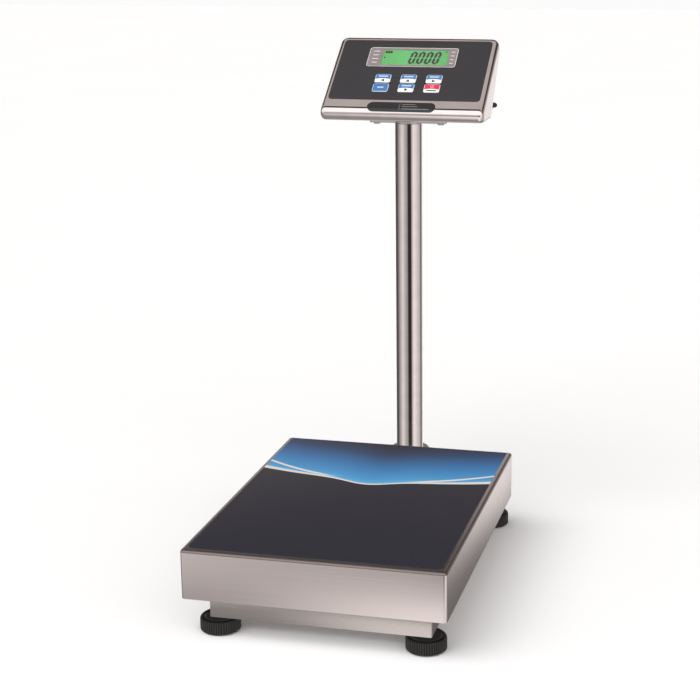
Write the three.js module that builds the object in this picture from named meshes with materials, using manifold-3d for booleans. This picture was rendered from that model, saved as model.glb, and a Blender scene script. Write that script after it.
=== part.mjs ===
// Column bench scale: a stainless platter on a single-point load cell, a low steel frame on four levelling
// feet, a round column and a wedge-shaped indicator head that tilts on a bracket.
// Millimetres, +Z up, +Y towards the back, +X to the right. Lengths along Y are drawn from the platter's
// front edge, and the finished group is centred so that the origin is the bottom centre of its box.
import * as THREE from "three";
import { mergeVertices } from "three/addons/utils/BufferGeometryUtils.js";
import Module from "manifold-3d";

// ---- driving dimensions -------------------------------------------------------------------------------
const GAP = 0.3; // clearance between neighbouring solids

const PLATTER = { width: 300, depth: 410, top: 107, bottom: 49.3, sheet: 1.5, edge: 3, corner: 2.5 };
const MAT = { inset: 3, thickness: 0.8, frontCorner: 10 };

const FRAME = { halfWidth: 127.2, front: 28.4, back: 441, bottom: 17.6, top: 46, sheet: 2, depth: 30 };
const FOOT = { x: 118.9, frontY: 39, backY: 430.5, radius: 23, wheelTop: 17, stud: 5, stroke: 12 };
const FOOT_NUT = { radius: 9, height: 12, clearance: 0.4 };

const CELL = { length: 150, width: 40, height: 34, start: 130, holeRadius: 10 };
const CELL_BOLT = { radius: 4, headRadius: 6.5, headHeight: 5.5, pitch: 20, inset: 10, grip: 15 };
const BEAM = { front: 118, back: 172, top: 34.6, wall: 3 };
const LEVEL = { x: -111, y: 95, radius: 12, rim: 5, height: 9.8 };
const SPIDER = { halfLength: 142.5, halfSpan: 120, barWidth: 25, barTop: 98.9, centreTop: 85.4, wall: 2.5 };
const SPIDER_CENTRE = { halfWidth: 35, height: 12 };
const STOP = { x: 112, radius: 4, nutRadius: 7, nutHeight: 6, play: 0.8 };
const PAD = { x: 105, radius: 9, height: 6 };

const COLUMN = { y: 471.5, radius: 17.5, wall: 1.5, bottom: 40, top: 521.6 };
const SOCKET = { radius: 26, top: 84, flangeHalf: 45, flangeThick: 4, cavity: 15, boltX: 35, bolt: 3 };
const LEAD_HOLE = 6;

const HEAD = {
  halfWidth: 105.5, edge: 4.5, wall: 1.5, slope: 36, y: 485.5, z: 586.7, // face centre and slope
  top: 67.5, topDepth: 17, toe: -100.7, heelA: -33.1, heelN: -49.1, nose: 10, heel: 8,
};
const REAR_SLOPE = 17.7; // rear wall against the face
const OVERLAY = { width: 197, height: 114, corner: 5, thickness: 0.8 };
const WINDOW = { x: -2.5, y: 24.5, width: 117.2, height: 37, corner: 3.7 };
const KEY = { width: 20.6, height: 15.6, corner: 2.5, pitchX: 33.5, upperY: -17.1, lowerY: -34.5 };
const PLATE = { halfLength: 44, thickness: 0.8, startA: -61.5, wrap: 38 };
const DISPLAY = { halfWidth: 50, halfHeight: 19, back: -8.5, opening: [48, 16] };
const BOARD = { halfWidth: 92, halfHeight: 52, back: -13.6, front: -12 };
const BATTERY = [[-45, 45], [-17, 23], [-46, -16]];
const REAR = { halfWidth: 90, low: 10, high: 92 }; // opening in the rear wall, up from the heel
const COVER = {
  halfWidth: 100, low: 4, high: 102, corner: 4, // flange
  boxHalf: 92, boxDepth: 19.8, boss: 6.5, bossOut: 95.2, screwX: 60, screwY: 94,
};
const INLET = { x: -62, y: 45, radius: 6.5, height: 3.5 };

const PIVOT = { y: 511, z: 541.7, bolt: 2.5, earRadius: 8, earOut: 98, earThick: 2.5 };
const BRACKET = { front: 462, back: 519, bottom: 524.6, thick: 2.5 };
const FLANGE = { halfWidth: 50, front: 462, back: 484, thick: 2.4 };
const BRACKET_BOLT = { x: 42, y: 472, radius: 3, headRadius: 4.4, headHeight: 2.4 };

// ---- finishes -----------------------------------------------------------------------------------------
const FINISH = {
  brushedSteel: { color: 0xc9c0be, roughness: 0.32, metalness: 1 },
  polishedSteel: { color: 0xd9d5d2, roughness: 0.08, metalness: 1 },
  zincSteel: { color: 0xa9a8a4, roughness: 0.45, metalness: 1 },
  aluminium: { color: 0xb8babd, roughness: 0.4, metalness: 1 },
  darkFilm: { color: 0x3a3843, roughness: 0.3, metalness: 0 },
  blackRubber: { color: 0x17151a, roughness: 0.75, metalness: 0 },
  blueKey: { color: 0x3c6eaf, roughness: 0.4, metalness: 0 },
  redKey: { color: 0xe13250, roughness: 0.4, metalness: 0 },
  clearLens: { color: 0x9a8a8a, roughness: 0.1, metalness: 0 },
  greenGlass: { color: 0x58b964, roughness: 0.2, metalness: 0 },
  circuitBoard: { color: 0x1f5a35, roughness: 0.6, metalness: 0 },
  batteryCase: { color: 0x2c2f36, roughness: 0.6, metalness: 0 },
};

// ---- solids -------------------------------------------------------------------------------------------
const wasm = await Module();
wasm.setup();

function toSolid(geometry) {
  const positions = geometry.clone();
  for (const name of Object.keys(positions.attributes)) {
    if (name !== "position") positions.deleteAttribute(name);
  }
  const merged = mergeVertices(positions, 1e-4);
  return new wasm.Manifold(
    new wasm.Mesh({
      numProp: 3,
      vertProperties: merged.attributes.position.array,
      triVerts: new Uint32Array(merged.index.array),
    }),
  );
}

function toGeometry(solid) {
  const mesh = solid.getMesh();
  const geometry = new THREE.BufferGeometry();
  geometry.setAttribute("position", new THREE.BufferAttribute(new Float32Array(mesh.vertProperties), 3));
  geometry.setIndex(new THREE.BufferAttribute(new Uint32Array(mesh.triVerts), 1));
  geometry.computeVertexNormals();
  return geometry;
}

const cut = (body, ...tools) => toGeometry(tools.reduce((s, t) => s.subtract(toSolid(t)), toSolid(body)));
const join = (body, ...more) => toGeometry(more.reduce((s, t) => s.add(toSolid(t)), toSolid(body)));
const common = (a, b) => toGeometry(toSolid(a).intersect(toSolid(b)));

// A box between two values on each axis.
function box([x0, x1], [y0, y1], [z0, z1]) {
  const geometry = new THREE.BoxGeometry(x1 - x0, y1 - y0, z1 - z0);
  return geometry.translate((x0 + x1) / 2, (y0 + y1) / 2, (z0 + z1) / 2);
}

// A box on one side of the middle: distances from X = 0 outwards, on the side -1 or 1.
function sideBox(side, [inner, outer], ySpan, zSpan) {
  return box(side > 0 ? [inner, outer] : [-outer, -inner], ySpan, zSpan);
}

function cylinderZ(radius, x, y, [z0, z1], segments = 20) {
  const geometry = new THREE.CylinderGeometry(radius, radius, z1 - z0, segments);
  return geometry.rotateX(Math.PI / 2).translate(x, y, (z0 + z1) / 2);
}

function cylinderY(radius, x, z, [y0, y1], segments = 16) {
  const geometry = new THREE.CylinderGeometry(radius, radius, y1 - y0, segments);
  return geometry.translate(x, (y0 + y1) / 2, z);
}

function cylinderX(radius, y, z, [x0, x1], segments = 16) {
  const geometry = new THREE.CylinderGeometry(radius, radius, x1 - x0, segments);
  return geometry.rotateZ(Math.PI / 2).translate((x0 + x1) / 2, y, z);
}

// A turned solid about +Z from [radius, height] points that start and end on the axis, bottom first.
function turned(profile, segments) {
  const points = profile.map(([r, z]) => new THREE.Vector2(r, z));
  return new THREE.LatheGeometry(points, segments).rotateX(Math.PI / 2);
}

// A closed outline with a fillet at each corner; corners are [x, y, radius], anticlockwise.
function filleted(corners) {
  const shape = new THREE.Shape();
  const count = corners.length;
  corners.forEach(([x, y, radius], i) => {
    const here = new THREE.Vector2(x, y);
    const before = new THREE.Vector2(...corners[(i + count - 1) % count]).sub(here).normalize();
    const after = new THREE.Vector2(...corners[(i + 1) % count]).sub(here).normalize();
    const halfAngle = Math.acos(before.dot(after)) / 2;
    const reach = radius / Math.sin(halfAngle);
    const centre = before.clone().add(after).normalize().multiplyScalar(reach).add(here);
    const setback = radius / Math.tan(halfAngle);
    const start = here.clone().addScaledVector(before, setback);
    const end = here.clone().addScaledVector(after, setback);
    if (i === 0) shape.moveTo(start.x, start.y);
    else shape.lineTo(start.x, start.y);
    const from = Math.atan2(start.y - centre.y, start.x - centre.x);
    const to = Math.atan2(end.y - centre.y, end.x - centre.x);
    shape.absarc(centre.x, centre.y, radius, from, to, false);
  });
  shape.closePath();
  return shape;
}

// The same convex outline moved inwards by a distance, with its fillets made smaller by as much.
function inset(corners, distance) {
  const count = corners.length;
  return corners.map(([x, y, radius], i) => {
    const here = new THREE.Vector2(x, y);
    const before = new THREE.Vector2(...corners[(i + count - 1) % count]).sub(here).normalize();
    const after = new THREE.Vector2(...corners[(i + 1) % count]).sub(here).normalize();
    const halfAngle = Math.acos(before.dot(after)) / 2;
    const moved = before.add(after).normalize().multiplyScalar(distance / Math.sin(halfAngle)).add(here);
    return [moved.x, moved.y, radius - distance];
  });
}

const rectangle = (x, y, width, height, radius) => [
  [x - width / 2, y - height / 2, radius],
  [x + width / 2, y - height / 2, radius],
  [x + width / 2, y + height / 2, radius],
  [x - width / 2, y + height / 2, radius],
];

// A flat plate of an outline in X and Y, between two heights.
function plate(corners, [z0, z1], curveSegments = 2) {
  const settings = { depth: z1 - z0, bevelEnabled: false, curveSegments };
  return new THREE.ExtrudeGeometry(filleted(corners), settings).translate(0, 0, z0);
}

// A side outline in Y and Z carried along X between two values, with its ends rounded by a radius.
function alongX(shape, [x0, x1], endRadius = 0, curveSegments = 3) {
  const settings = {
    depth: x1 - x0 - 2 * endRadius,
    bevelEnabled: endRadius > 0,
    bevelThickness: endRadius,
    bevelSize: endRadius,
    bevelOffset: -endRadius,
    bevelSegments: 3,
    curveSegments,
  };
  const axes = new THREE.Matrix4().makeBasis(
    new THREE.Vector3(0, 1, 0),
    new THREE.Vector3(0, 0, 1),
    new THREE.Vector3(1, 0, 0),
  );
  return new THREE.ExtrudeGeometry(shape, settings).applyMatrix4(axes).translate(x0 + endRadius, 0, 0);
}

function addMesh(group, name, geometry, finish) {
  const mesh = new THREE.Mesh(geometry, new THREE.MeshStandardMaterial(FINISH[finish]));
  mesh.name = name;
  group.add(mesh);
  return mesh;
}

const SIDES = [
  [-1, "left"],
  [1, "right"],
];
const ENDS = [
  [FOOT.frontY, "front"],
  [FOOT.backY, "rear"],
];

// ---- frame --------------------------------------------------------------------------------------------
const innerFlange = FRAME.halfWidth - FRAME.depth - GAP;
const frameHeight = [FRAME.bottom, FRAME.top];
const channelInside = [FRAME.bottom + FRAME.sheet, FRAME.top - FRAME.sheet];

// Folded channels, open inwards. The side rails carry a welded nut for each foot.
function sideRail(side) {
  const span = [FRAME.front + FRAME.sheet + GAP, FRAME.back - FRAME.sheet - GAP];
  const outer = sideBox(side, [FRAME.halfWidth - FRAME.depth, FRAME.halfWidth], span, frameHeight);
  const hollow = sideBox(
    side,
    [FRAME.halfWidth - FRAME.depth - 1, FRAME.halfWidth - FRAME.sheet],
    [span[0] - 1, span[1] + 1],
    channelInside,
  );
  const x = side * FOOT.x;
  const nutTop = channelInside[0] + FOOT_NUT.height;
  const nutRadius = Math.min(FOOT_NUT.radius, FRAME.halfWidth - FRAME.sheet - FOOT.x + 1);
  const nuts = ENDS.map(([y]) => cylinderZ(nutRadius, x, y, [FRAME.bottom + 0.5, nutTop], 16));
  const holes = ENDS.map(([y]) => {
    return cylinderZ(FOOT.stud + FOOT_NUT.clearance, x, y, [FRAME.bottom - 1, nutTop + 1], 16);
  });
  return cut(join(cut(outer, hollow), ...nuts), ...holes);
}

function endRail(web, flange, holes) {
  const full = [-FRAME.halfWidth, FRAME.halfWidth];
  const short = [-innerFlange, innerFlange];
  const body = join(
    box(full, web, frameHeight),
    box(short, flange, [FRAME.bottom, channelInside[0]]),
    box(short, flange, [channelInside[1], FRAME.top]),
  );
  return holes.length ? cut(body, ...holes) : body;
}

const socketBoltZ = (FRAME.bottom + FRAME.top) / 2;
const leadZ = socketBoltZ - 5;

function addFrame(group) {
  for (const [side, name] of SIDES) addMesh(group, `${name}_side_rail`, sideRail(side), "brushedSteel");
  const frontWeb = [FRAME.front, FRAME.front + FRAME.sheet];
  const rearWeb = [FRAME.back - FRAME.sheet, FRAME.back];
  const frontFlange = [frontWeb[1] - 0.5, FRAME.front + FRAME.depth];
  const rearFlange = [FRAME.back - FRAME.depth, rearWeb[0] + 0.5];
  const through = [rearWeb[0] - 1, rearWeb[1] + 1];
  const rearHoles = [
    cylinderY(LEAD_HOLE, 0, leadZ, through),
    ...[-1, 1].map((side) => cylinderY(SOCKET.bolt + 0.4, side * SOCKET.boltX, socketBoltZ, through)),
  ];
  addMesh(group, "front_rail", endRail(frontWeb, frontFlange, []), "brushedSteel");
  addMesh(group, "rear_rail", endRail(rearWeb, rearFlange, rearHoles), "brushedSteel");

  // The cross beam is a channel open downwards; the load cell is bolted on it.
  const span = [-innerFlange, innerFlange];
  const beam = box(span, [BEAM.front, BEAM.back], [FRAME.bottom, BEAM.top]);
  const under = box(
    [-innerFlange - 1, innerFlange + 1],
    [BEAM.front + BEAM.wall, BEAM.back - BEAM.wall],
    [FRAME.bottom - 1, BEAM.top - BEAM.wall],
  );
  const drill = [BEAM.top - 5, BEAM.top + 1];
  const holes = lowerBoltY.map((y) => cylinderZ(CELL_BOLT.radius + GAP, 0, y, drill, 16));
  addMesh(group, "load_cell_beam", cut(beam, under, ...holes), "zincSteel");
}

// ---- load cell and the bars that carry the platter ----------------------------------------------------
const cellBottom = BEAM.top + GAP;
const cellTop = cellBottom + CELL.height;
const cellEnd = CELL.start + CELL.length;
const lowerBoltY = [CELL.start + CELL_BOLT.inset, CELL.start + CELL_BOLT.inset + CELL_BOLT.pitch];
const upperBoltY = [cellEnd - CELL_BOLT.inset - CELL_BOLT.pitch, cellEnd - CELL_BOLT.inset];
const platterMid = PLATTER.depth / 2;
const spacerTop = SPIDER.centreTop - SPIDER_CENTRE.height - GAP;
const barY = [platterMid - SPIDER.halfLength, platterMid + SPIDER.halfLength];
const barBottom = SPIDER.centreTop + GAP;

function loadCell() {
  const middle = CELL.start + CELL.length / 2;
  const height = (cellBottom + cellTop) / 2;
  const side = [-CELL.width, CELL.width];
  const bodyX = [-CELL.width / 2, CELL.width / 2];
  const body = box(bodyX, [CELL.start, cellEnd], [cellBottom, cellTop]);
  const gaugeHoles = [-15, 15].map((offset) => cylinderX(CELL.holeRadius, middle + offset, height, side));
  const slot = box(side, [middle - 15, middle + 15], [height - 3, height + 3]);
  const lower = lowerBoltY.map((y) => {
    return cylinderZ(CELL_BOLT.radius + GAP, 0, y, [cellBottom - 1, cellBottom + CELL_BOLT.grip], 16);
  });
  const upper = upperBoltY.map((y) => {
    return cylinderZ(CELL_BOLT.radius + GAP, 0, y, [cellTop - CELL_BOLT.grip, cellTop + 1], 16);
  });
  return cut(body, ...gaugeHoles, slot, ...lower, ...upper);
}

// A hexagon-headed bolt; the head lies at the start of the shank on the side that headDown says.
function hexBolt(radius, headRadius, headHeight, [z0, z1], headDown) {
  const shank = cylinderZ(radius, 0, 0, [z0, z1], 16);
  const head = headDown ? [z0 - headHeight, z0 + 0.2] : [z1 - 0.2, z1 + headHeight];
  return join(shank, cylinderZ(headRadius, 0, 0, head, 6));
}

// A rectangular tube along X or Y with open ends.
function hollowBar(spans, wall, axis) {
  const inner = spans.map(([a, b], i) => (i === axis ? [a - 1, b + 1] : [a + wall, b - wall]));
  return cut(box(...spans), box(...inner));
}

function addWeighing(group) {
  addMesh(group, "load_cell", loadCell(), "aluminium");
  lowerBoltY.forEach((y, i) => {
    const span = [BEAM.top - BEAM.wall - GAP, cellBottom + CELL_BOLT.grip - 2];
    const bolt = hexBolt(CELL_BOLT.radius, CELL_BOLT.headRadius, CELL_BOLT.headHeight, span, true);
    addMesh(group, `cell_bolt_lower_${i + 1}`, bolt, "zincSteel").position.set(0, y, 0);
  });
  upperBoltY.forEach((y, i) => {
    const span = [cellTop - CELL_BOLT.grip + 2, SPIDER.centreTop + GAP];
    const bolt = hexBolt(CELL_BOLT.radius, CELL_BOLT.headRadius, CELL_BOLT.headHeight, span, false);
    addMesh(group, `cell_bolt_upper_${i + 1}`, bolt, "zincSteel").position.set(0, y, 0);
  });

  const upperHole = (z) => upperBoltY.map((y) => cylinderZ(CELL_BOLT.radius + GAP, 0, y, z, 16));
  const spacer = box(
    [-CELL.width / 2, CELL.width / 2],
    [upperBoltY[0] - CELL_BOLT.inset, cellEnd],
    [cellTop + GAP, spacerTop],
  );
  addMesh(group, "upper_spacer", cut(spacer, ...upperHole([cellTop - 1, spacerTop + 1])), "zincSteel");

  const half = SPIDER.barWidth / 2;
  const centreSpan = [
    [-SPIDER_CENTRE.halfWidth, SPIDER_CENTRE.halfWidth],
    [barY[0] - half, barY[1] + half],
    [spacerTop + GAP, SPIDER.centreTop],
  ];
  const centre = hollowBar(centreSpan, SPIDER.wall, 1);
  const holes = upperHole([spacerTop, SPIDER.centreTop + 1]);
  addMesh(group, "platter_bar_centre", cut(centre, ...holes), "zincSteel");
  barY.forEach((y, i) => {
    const span = [[-SPIDER.halfSpan, SPIDER.halfSpan], [y - half, y + half], [barBottom, SPIDER.barTop]];
    addMesh(group, `platter_bar_${ENDS[i][1]}`, hollowBar(span, SPIDER.wall, 0), "zincSteel");
    const padBottom = SPIDER.barTop + GAP;
    const nut = [FRAME.top + GAP, FRAME.top + GAP + STOP.nutHeight];
    const screw = [nut[1] - 1, barBottom - STOP.play];
    for (const [side, name] of SIDES) {
      const place = `${ENDS[i][1]}_${name}`;
      const pad = cylinderZ(PAD.radius, 0, 0, [padBottom, padBottom + PAD.height]);
      addMesh(group, `rubber_pad_${place}`, pad, "blackRubber").position.set(side * PAD.x, y, 0);
      const stop = join(cylinderZ(STOP.nutRadius, 0, 0, nut, 6), cylinderZ(STOP.radius, 0, 0, screw, 12));
      addMesh(group, `overload_stop_${place}`, stop, "zincSteel").position.set(side * STOP.x, y, 0);
    }
  });

  // Round bubble level with a domed glass, screwed on the left rail near the front.
  const base = FRAME.top + GAP;
  const profile = [
    [0, 0],
    [LEVEL.radius, 0],
    [LEVEL.radius, LEVEL.rim],
    [LEVEL.radius - 3, LEVEL.height - 1.8],
    [LEVEL.radius - 7, LEVEL.height - 0.4],
    [0, LEVEL.height],
  ];
  addMesh(group, "bubble_level", turned(profile, 20), "clearLens").position.set(LEVEL.x, LEVEL.y, base);
}

// ---- feet ---------------------------------------------------------------------------------------------
const SOLE = { radius: 19, height: 2.6, recess: 1.6 };

// A hand wheel with its threaded stud, and the rubber sole that it turns on.
function addFeet(group) {
  const wheelBottom = SOLE.height - SOLE.recess;
  const { radius, wheelTop } = FOOT;
  const studTop = wheelTop + FOOT_NUT.height + 1 + FOOT.stroke;
  const soleProfile = [
    [0, 0], [SOLE.radius - 1, 0], [SOLE.radius, 1], [SOLE.radius, SOLE.height], [0, SOLE.height],
  ];
  const wheelProfile = [
    [0, SOLE.height + GAP],
    [SOLE.radius + GAP, SOLE.height + GAP],
    [SOLE.radius + GAP, wheelBottom],
    [radius - 1.2, wheelBottom],
    [radius, wheelBottom + 1.5],
    [radius, wheelTop - 2.5],
    [radius - 2, wheelTop],
    [radius - 5.5, wheelTop],
    [radius - 6.5, wheelTop - 1.2],
    [FOOT.stud, wheelTop - 1.2],
    [FOOT.stud, studTop],
    [0, studTop],
  ];
  for (const [y, end] of ENDS) {
    for (const [side, name] of SIDES) {
      const x = side * FOOT.x;
      const wheel = turned(wheelProfile, 20);
      addMesh(group, `foot_wheel_${end}_${name}`, wheel, "blackRubber").position.set(x, y, 0);
      const sole = turned(soleProfile, 18);
      addMesh(group, `foot_sole_${end}_${name}`, sole, "blackRubber").position.set(x, y, 0);
    }
  }
}

// ---- platter ------------------------------------------------------------------------------------------
function addPlatter(group) {
  const { width, depth, top, bottom, sheet, edge, corner } = PLATTER;
  const outline = filleted(rectangle(0, depth / 2, width, depth, corner + edge));
  const rounded = new THREE.ExtrudeGeometry(outline, {
    depth: top - bottom,
    bevelThickness: edge,
    bevelSize: edge,
    bevelOffset: -edge,
    bevelSegments: 3,
    curveSegments: 2,
  }).translate(0, 0, bottom - edge);
  const below = box([-width, width], [-depth, 2 * depth], [bottom - 50, bottom]);
  const inside = plate(
    rectangle(0, depth / 2, width - 2 * sheet, depth - 2 * sheet, corner + edge - sheet),
    [bottom - 1, top - sheet],
  );
  addMesh(group, "platter", cut(rounded, below, inside), "brushedSteel");

  const matHalf = width / 2 - MAT.inset;
  const mat = [
    [-matHalf, MAT.inset, MAT.frontCorner],
    [matHalf, MAT.inset, MAT.frontCorner],
    [matHalf, depth - MAT.inset, 1.5],
    [-matHalf, depth - MAT.inset, 1.5],
  ];
  addMesh(group, "graphic_mat", plate(mat, [top + GAP, top + GAP + MAT.thickness], 4), "darkFilm");
}

// ---- column -------------------------------------------------------------------------------------------
function addColumn(group) {
  const { y, radius, wall, bottom, top } = COLUMN;
  const front = FRAME.back + GAP;
  const socketBody = join(
    cylinderZ(SOCKET.radius, 0, y, [FRAME.bottom, SOCKET.top], 32),
    box([-SOCKET.radius, SOCKET.radius], [front, y], [FRAME.bottom, SOCKET.top]),
    box([-SOCKET.flangeHalf, SOCKET.flangeHalf], [front, front + SOCKET.flangeThick], frameHeight),
  );
  const through = [front - 1, front + SOCKET.flangeThick + 1];
  const holes = [-1, 1].map((side) => cylinderY(SOCKET.bolt + 0.4, side * SOCKET.boltX, socketBoltZ, through));
  const socket = cut(
    socketBody,
    cylinderZ(radius + GAP, 0, y, [bottom - GAP, SOCKET.top + 1], 32),
    cylinderZ(SOCKET.cavity, 0, y, [FRAME.bottom + 4, bottom], 24),
    cylinderY(LEAD_HOLE, 0, leadZ, [front - 1, y]),
    ...holes,
  );
  addMesh(group, "column_socket", socket, "brushedSteel");
  for (const [side, name] of SIDES) {
    const reach = [-(front + SOCKET.flangeThick + GAP), -(FRAME.back - FRAME.sheet - 8)];
    const bolt = hexBolt(SOCKET.bolt, 5.5, 4, reach, true).rotateX(Math.PI / 2);
    addMesh(group, `socket_bolt_${name}`, bolt, "zincSteel").position.set(side * SOCKET.boltX, 0, socketBoltZ);
  }

  const tube = cut(
    cylinderZ(radius, 0, y, [bottom, top], 32),
    cylinderZ(radius - wall, 0, y, [bottom - 1, top + 1], 32),
  );
  addMesh(group, "column_tube", tube, "polishedSteel");

  // The flange is a disc on the tube with two ears that the tilt bracket is bolted to.
  const flangeZ = [top + GAP, top + GAP + FLANGE.thick];
  const flange = join(
    cylinderZ(radius, 0, y, flangeZ, 32),
    plate(
      rectangle(0, (FLANGE.front + FLANGE.back) / 2, 2 * FLANGE.halfWidth, FLANGE.back - FLANGE.front, 4),
      flangeZ,
    ),
  );
  const bracketZ = [BRACKET.bottom, BRACKET.bottom + BRACKET.thick];
  const drill = [flangeZ[0] - 1, bracketZ[1] + 1];
  const boltHoles = () => [-1, 1].map((side) => {
    return cylinderZ(BRACKET_BOLT.radius + GAP, side * BRACKET_BOLT.x, BRACKET_BOLT.y, drill);
  });
  const leadHole = () => cylinderZ(9, 0, y, drill);
  addMesh(group, "column_flange", cut(flange, leadHole(), ...boltHoles()), "zincSteel");
  for (const [side, name] of SIDES) {
    const bolt = hexBolt(
      BRACKET_BOLT.radius, BRACKET_BOLT.headRadius, BRACKET_BOLT.headHeight, [top, bracketZ[1] - GAP], true,
    );
    const mesh = addMesh(group, `bracket_bolt_${name}`, bolt, "zincSteel");
    mesh.position.set(side * BRACKET_BOLT.x, BRACKET_BOLT.y, 0);
  }

  // The bracket is a U: a plate under the head, and an ear behind each end of it round the pivot.
  const ears = SIDES.map(([side]) => {
    const span = [side * PIVOT.earOut, side * (PIVOT.earOut - PIVOT.earThick)].sort((a, b) => a - b);
    const neck = box(span, [PIVOT.y - PIVOT.earRadius, PIVOT.y + PIVOT.earRadius], [BRACKET.bottom, PIVOT.z]);
    return join(neck, cylinderX(PIVOT.earRadius, PIVOT.y, PIVOT.z, span, 24));
  });
  const bracketPlate = plate(
    rectangle(0, (BRACKET.front + BRACKET.back) / 2, 2 * PIVOT.earOut, BRACKET.back - BRACKET.front, 3),
    bracketZ,
  );
  const pivotHole = cylinderX(PIVOT.bolt + 0.5, PIVOT.y, PIVOT.z, [-PIVOT.earOut - 1, PIVOT.earOut + 1]);
  const bracket = cut(join(bracketPlate, ...ears), pivotHole, leadHole(), ...boltHoles());
  addMesh(group, "tilt_bracket", bracket, "zincSteel");
}

// ---- indicator head -----------------------------------------------------------------------------------
// Drawn lying flat: local X to the right, local Y up the face, local Z out of the face.
const headSide = [
  [HEAD.heelA, HEAD.heelN, HEAD.heel],
  [HEAD.top, -HEAD.topDepth, 5],
  [HEAD.top, 0, 5],
  [HEAD.toe, 0, HEAD.nose],
];
const headSpan = [-HEAD.halfWidth, HEAD.halfWidth];
const keyPlaces = [KEY.upperY, KEY.lowerY].flatMap((y) => [-1, 0, 1].map((i) => [i * KEY.pitchX, y]));
const KEY_NAMES = ["left", "up", "right", "set", "down", "power"];
const faceStack = [GAP, GAP + OVERLAY.thickness];

function placeOnFace(group) {
  group.position.set(0, HEAD.y, HEAD.z);
  group.rotation.x = THREE.MathUtils.degToRad(HEAD.slope);
  return group;
}

function headShell() {
  const outer = alongX(filleted(headSide), headSpan, HEAD.edge);
  const wall = HEAD.wall;
  const innerSpan = [headSpan[0] + wall, headSpan[1] - wall];
  const inner = alongX(filleted(inset(headSide, wall)), innerSpan, HEAD.edge - wall);
  const rearOpening = box([-REAR.halfWidth, REAR.halfWidth], [REAR.low, REAR.high], [-5, 5]);
  rearOpening.rotateX(THREE.MathUtils.degToRad(REAR_SLOPE)).translate(0, HEAD.heelA, HEAD.heelN);
  const [halfX, halfY] = DISPLAY.opening;
  const window = box([WINDOW.x - halfX, WINDOW.x + halfX], [WINDOW.y - halfY, WINDOW.y + halfY], [-3, 1]);
  const keyHoles = keyPlaces.map(([x, y]) => {
    return plate(rectangle(x, y, KEY.width + 1.4, KEY.height + 1.4, 3), [-3, 1]);
  });
  // The lead comes up through the column into the underside.
  const leadHole = cylinderZ(10, 0, COLUMN.y - HEAD.y, [-70, -50]);
  leadHole.rotateX(THREE.MathUtils.degToRad(-HEAD.slope));
  return cut(outer, inner, rearOpening, window, ...keyHoles, leadHole);
}

function addFace(head) {
  const keyHoles = keyPlaces.map(([x, y]) => {
    return plate(rectangle(x, y, KEY.width + 0.8, KEY.height + 0.8, KEY.corner + 0.4), [0, 2]);
  });
  const { x, y, width, height, corner } = WINDOW;
  const windowHole = plate(rectangle(x, y, width + 2 * GAP, height + 2 * GAP, corner + GAP), [0, 2]);
  const overlay = plate(rectangle(0, 0, OVERLAY.width, OVERLAY.height, OVERLAY.corner), faceStack);
  addMesh(head, "overlay_panel", cut(overlay, windowHole, ...keyHoles), "darkFilm");
  addMesh(head, "display_window", plate(rectangle(x, y, width, height, corner), faceStack), "clearLens");
  const display = box(
    [x - DISPLAY.halfWidth, x + DISPLAY.halfWidth],
    [y - DISPLAY.halfHeight, y + DISPLAY.halfHeight],
    [DISPLAY.back, -HEAD.wall - GAP],
  );
  addMesh(head, "display_module", display, "greenGlass");

  keyPlaces.forEach(([keyX, keyY], i) => {
    const cap = plate(rectangle(0, 0, KEY.width, KEY.height, KEY.corner), [-1.2, faceStack[1] + 0.4]);
    const stem = cylinderZ(2.5, 0, 0, [-10.9, -1], 12);
    const finish = KEY_NAMES[i] === "power" ? "redKey" : "blueKey";
    addMesh(head, `key_${KEY_NAMES[i]}`, join(cap, stem), finish).position.set(keyX, keyY, 0);
  });

  // A narrow plate with round ends, bent from the face over the nose.
  const nose = noseCentre();
  const angle = Math.PI / 2;
  const wrap = THREE.MathUtils.degToRad(PLATE.wrap);
  const inner = HEAD.nose + GAP;
  const strip = new THREE.Shape();
  strip.moveTo(PLATE.startA, GAP);
  strip.lineTo(nose.x, GAP);
  strip.absarc(nose.x, nose.y, inner, angle, angle + wrap, false);
  strip.absarc(nose.x, nose.y, inner + PLATE.thickness, angle + wrap, angle, true);
  strip.lineTo(PLATE.startA, GAP + PLATE.thickness);
  strip.closePath();
  const reach = nose.x - (inner + PLATE.thickness) * Math.sin(wrap);
  const length = PLATE.startA - reach;
  const capsule = plate(
    rectangle(0, PLATE.startA - length / 2, 2 * PLATE.halfLength, length, length / 2 - 0.1),
    [-20, 5],
    5,
  );
  const bent = alongX(strip, [-PLATE.halfLength - 1, PLATE.halfLength + 1], 0, 4);
  addMesh(head, "info_plate", common(bent, capsule), "darkFilm");
}

// The middle of the nose's round, in the face's own Y and Z.
function noseCentre() {
  const heel = new THREE.Vector2(HEAD.heelA, HEAD.heelN);
  const toe = new THREE.Vector2(HEAD.toe, 0);
  const angle = heel.sub(toe).angle() - 2 * Math.PI;
  return new THREE.Vector2(HEAD.toe + HEAD.nose / Math.tan(-angle / 2), -HEAD.nose);
}

function addInside(head) {
  const board = box(
    [-BOARD.halfWidth, BOARD.halfWidth],
    [-BOARD.halfHeight, BOARD.halfHeight],
    [BOARD.back, BOARD.front],
  );
  const switches = keyPlaces.map(([x, y]) => {
    return box([x - 3, x + 3], [y - 3, y + 3], [BOARD.front - 0.4, BOARD.front + 0.4]);
  });
  addMesh(head, "main_board", join(board, ...switches), "circuitBoard");
  addMesh(head, "battery_pack", box(...BATTERY), "batteryCase");
}

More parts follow.
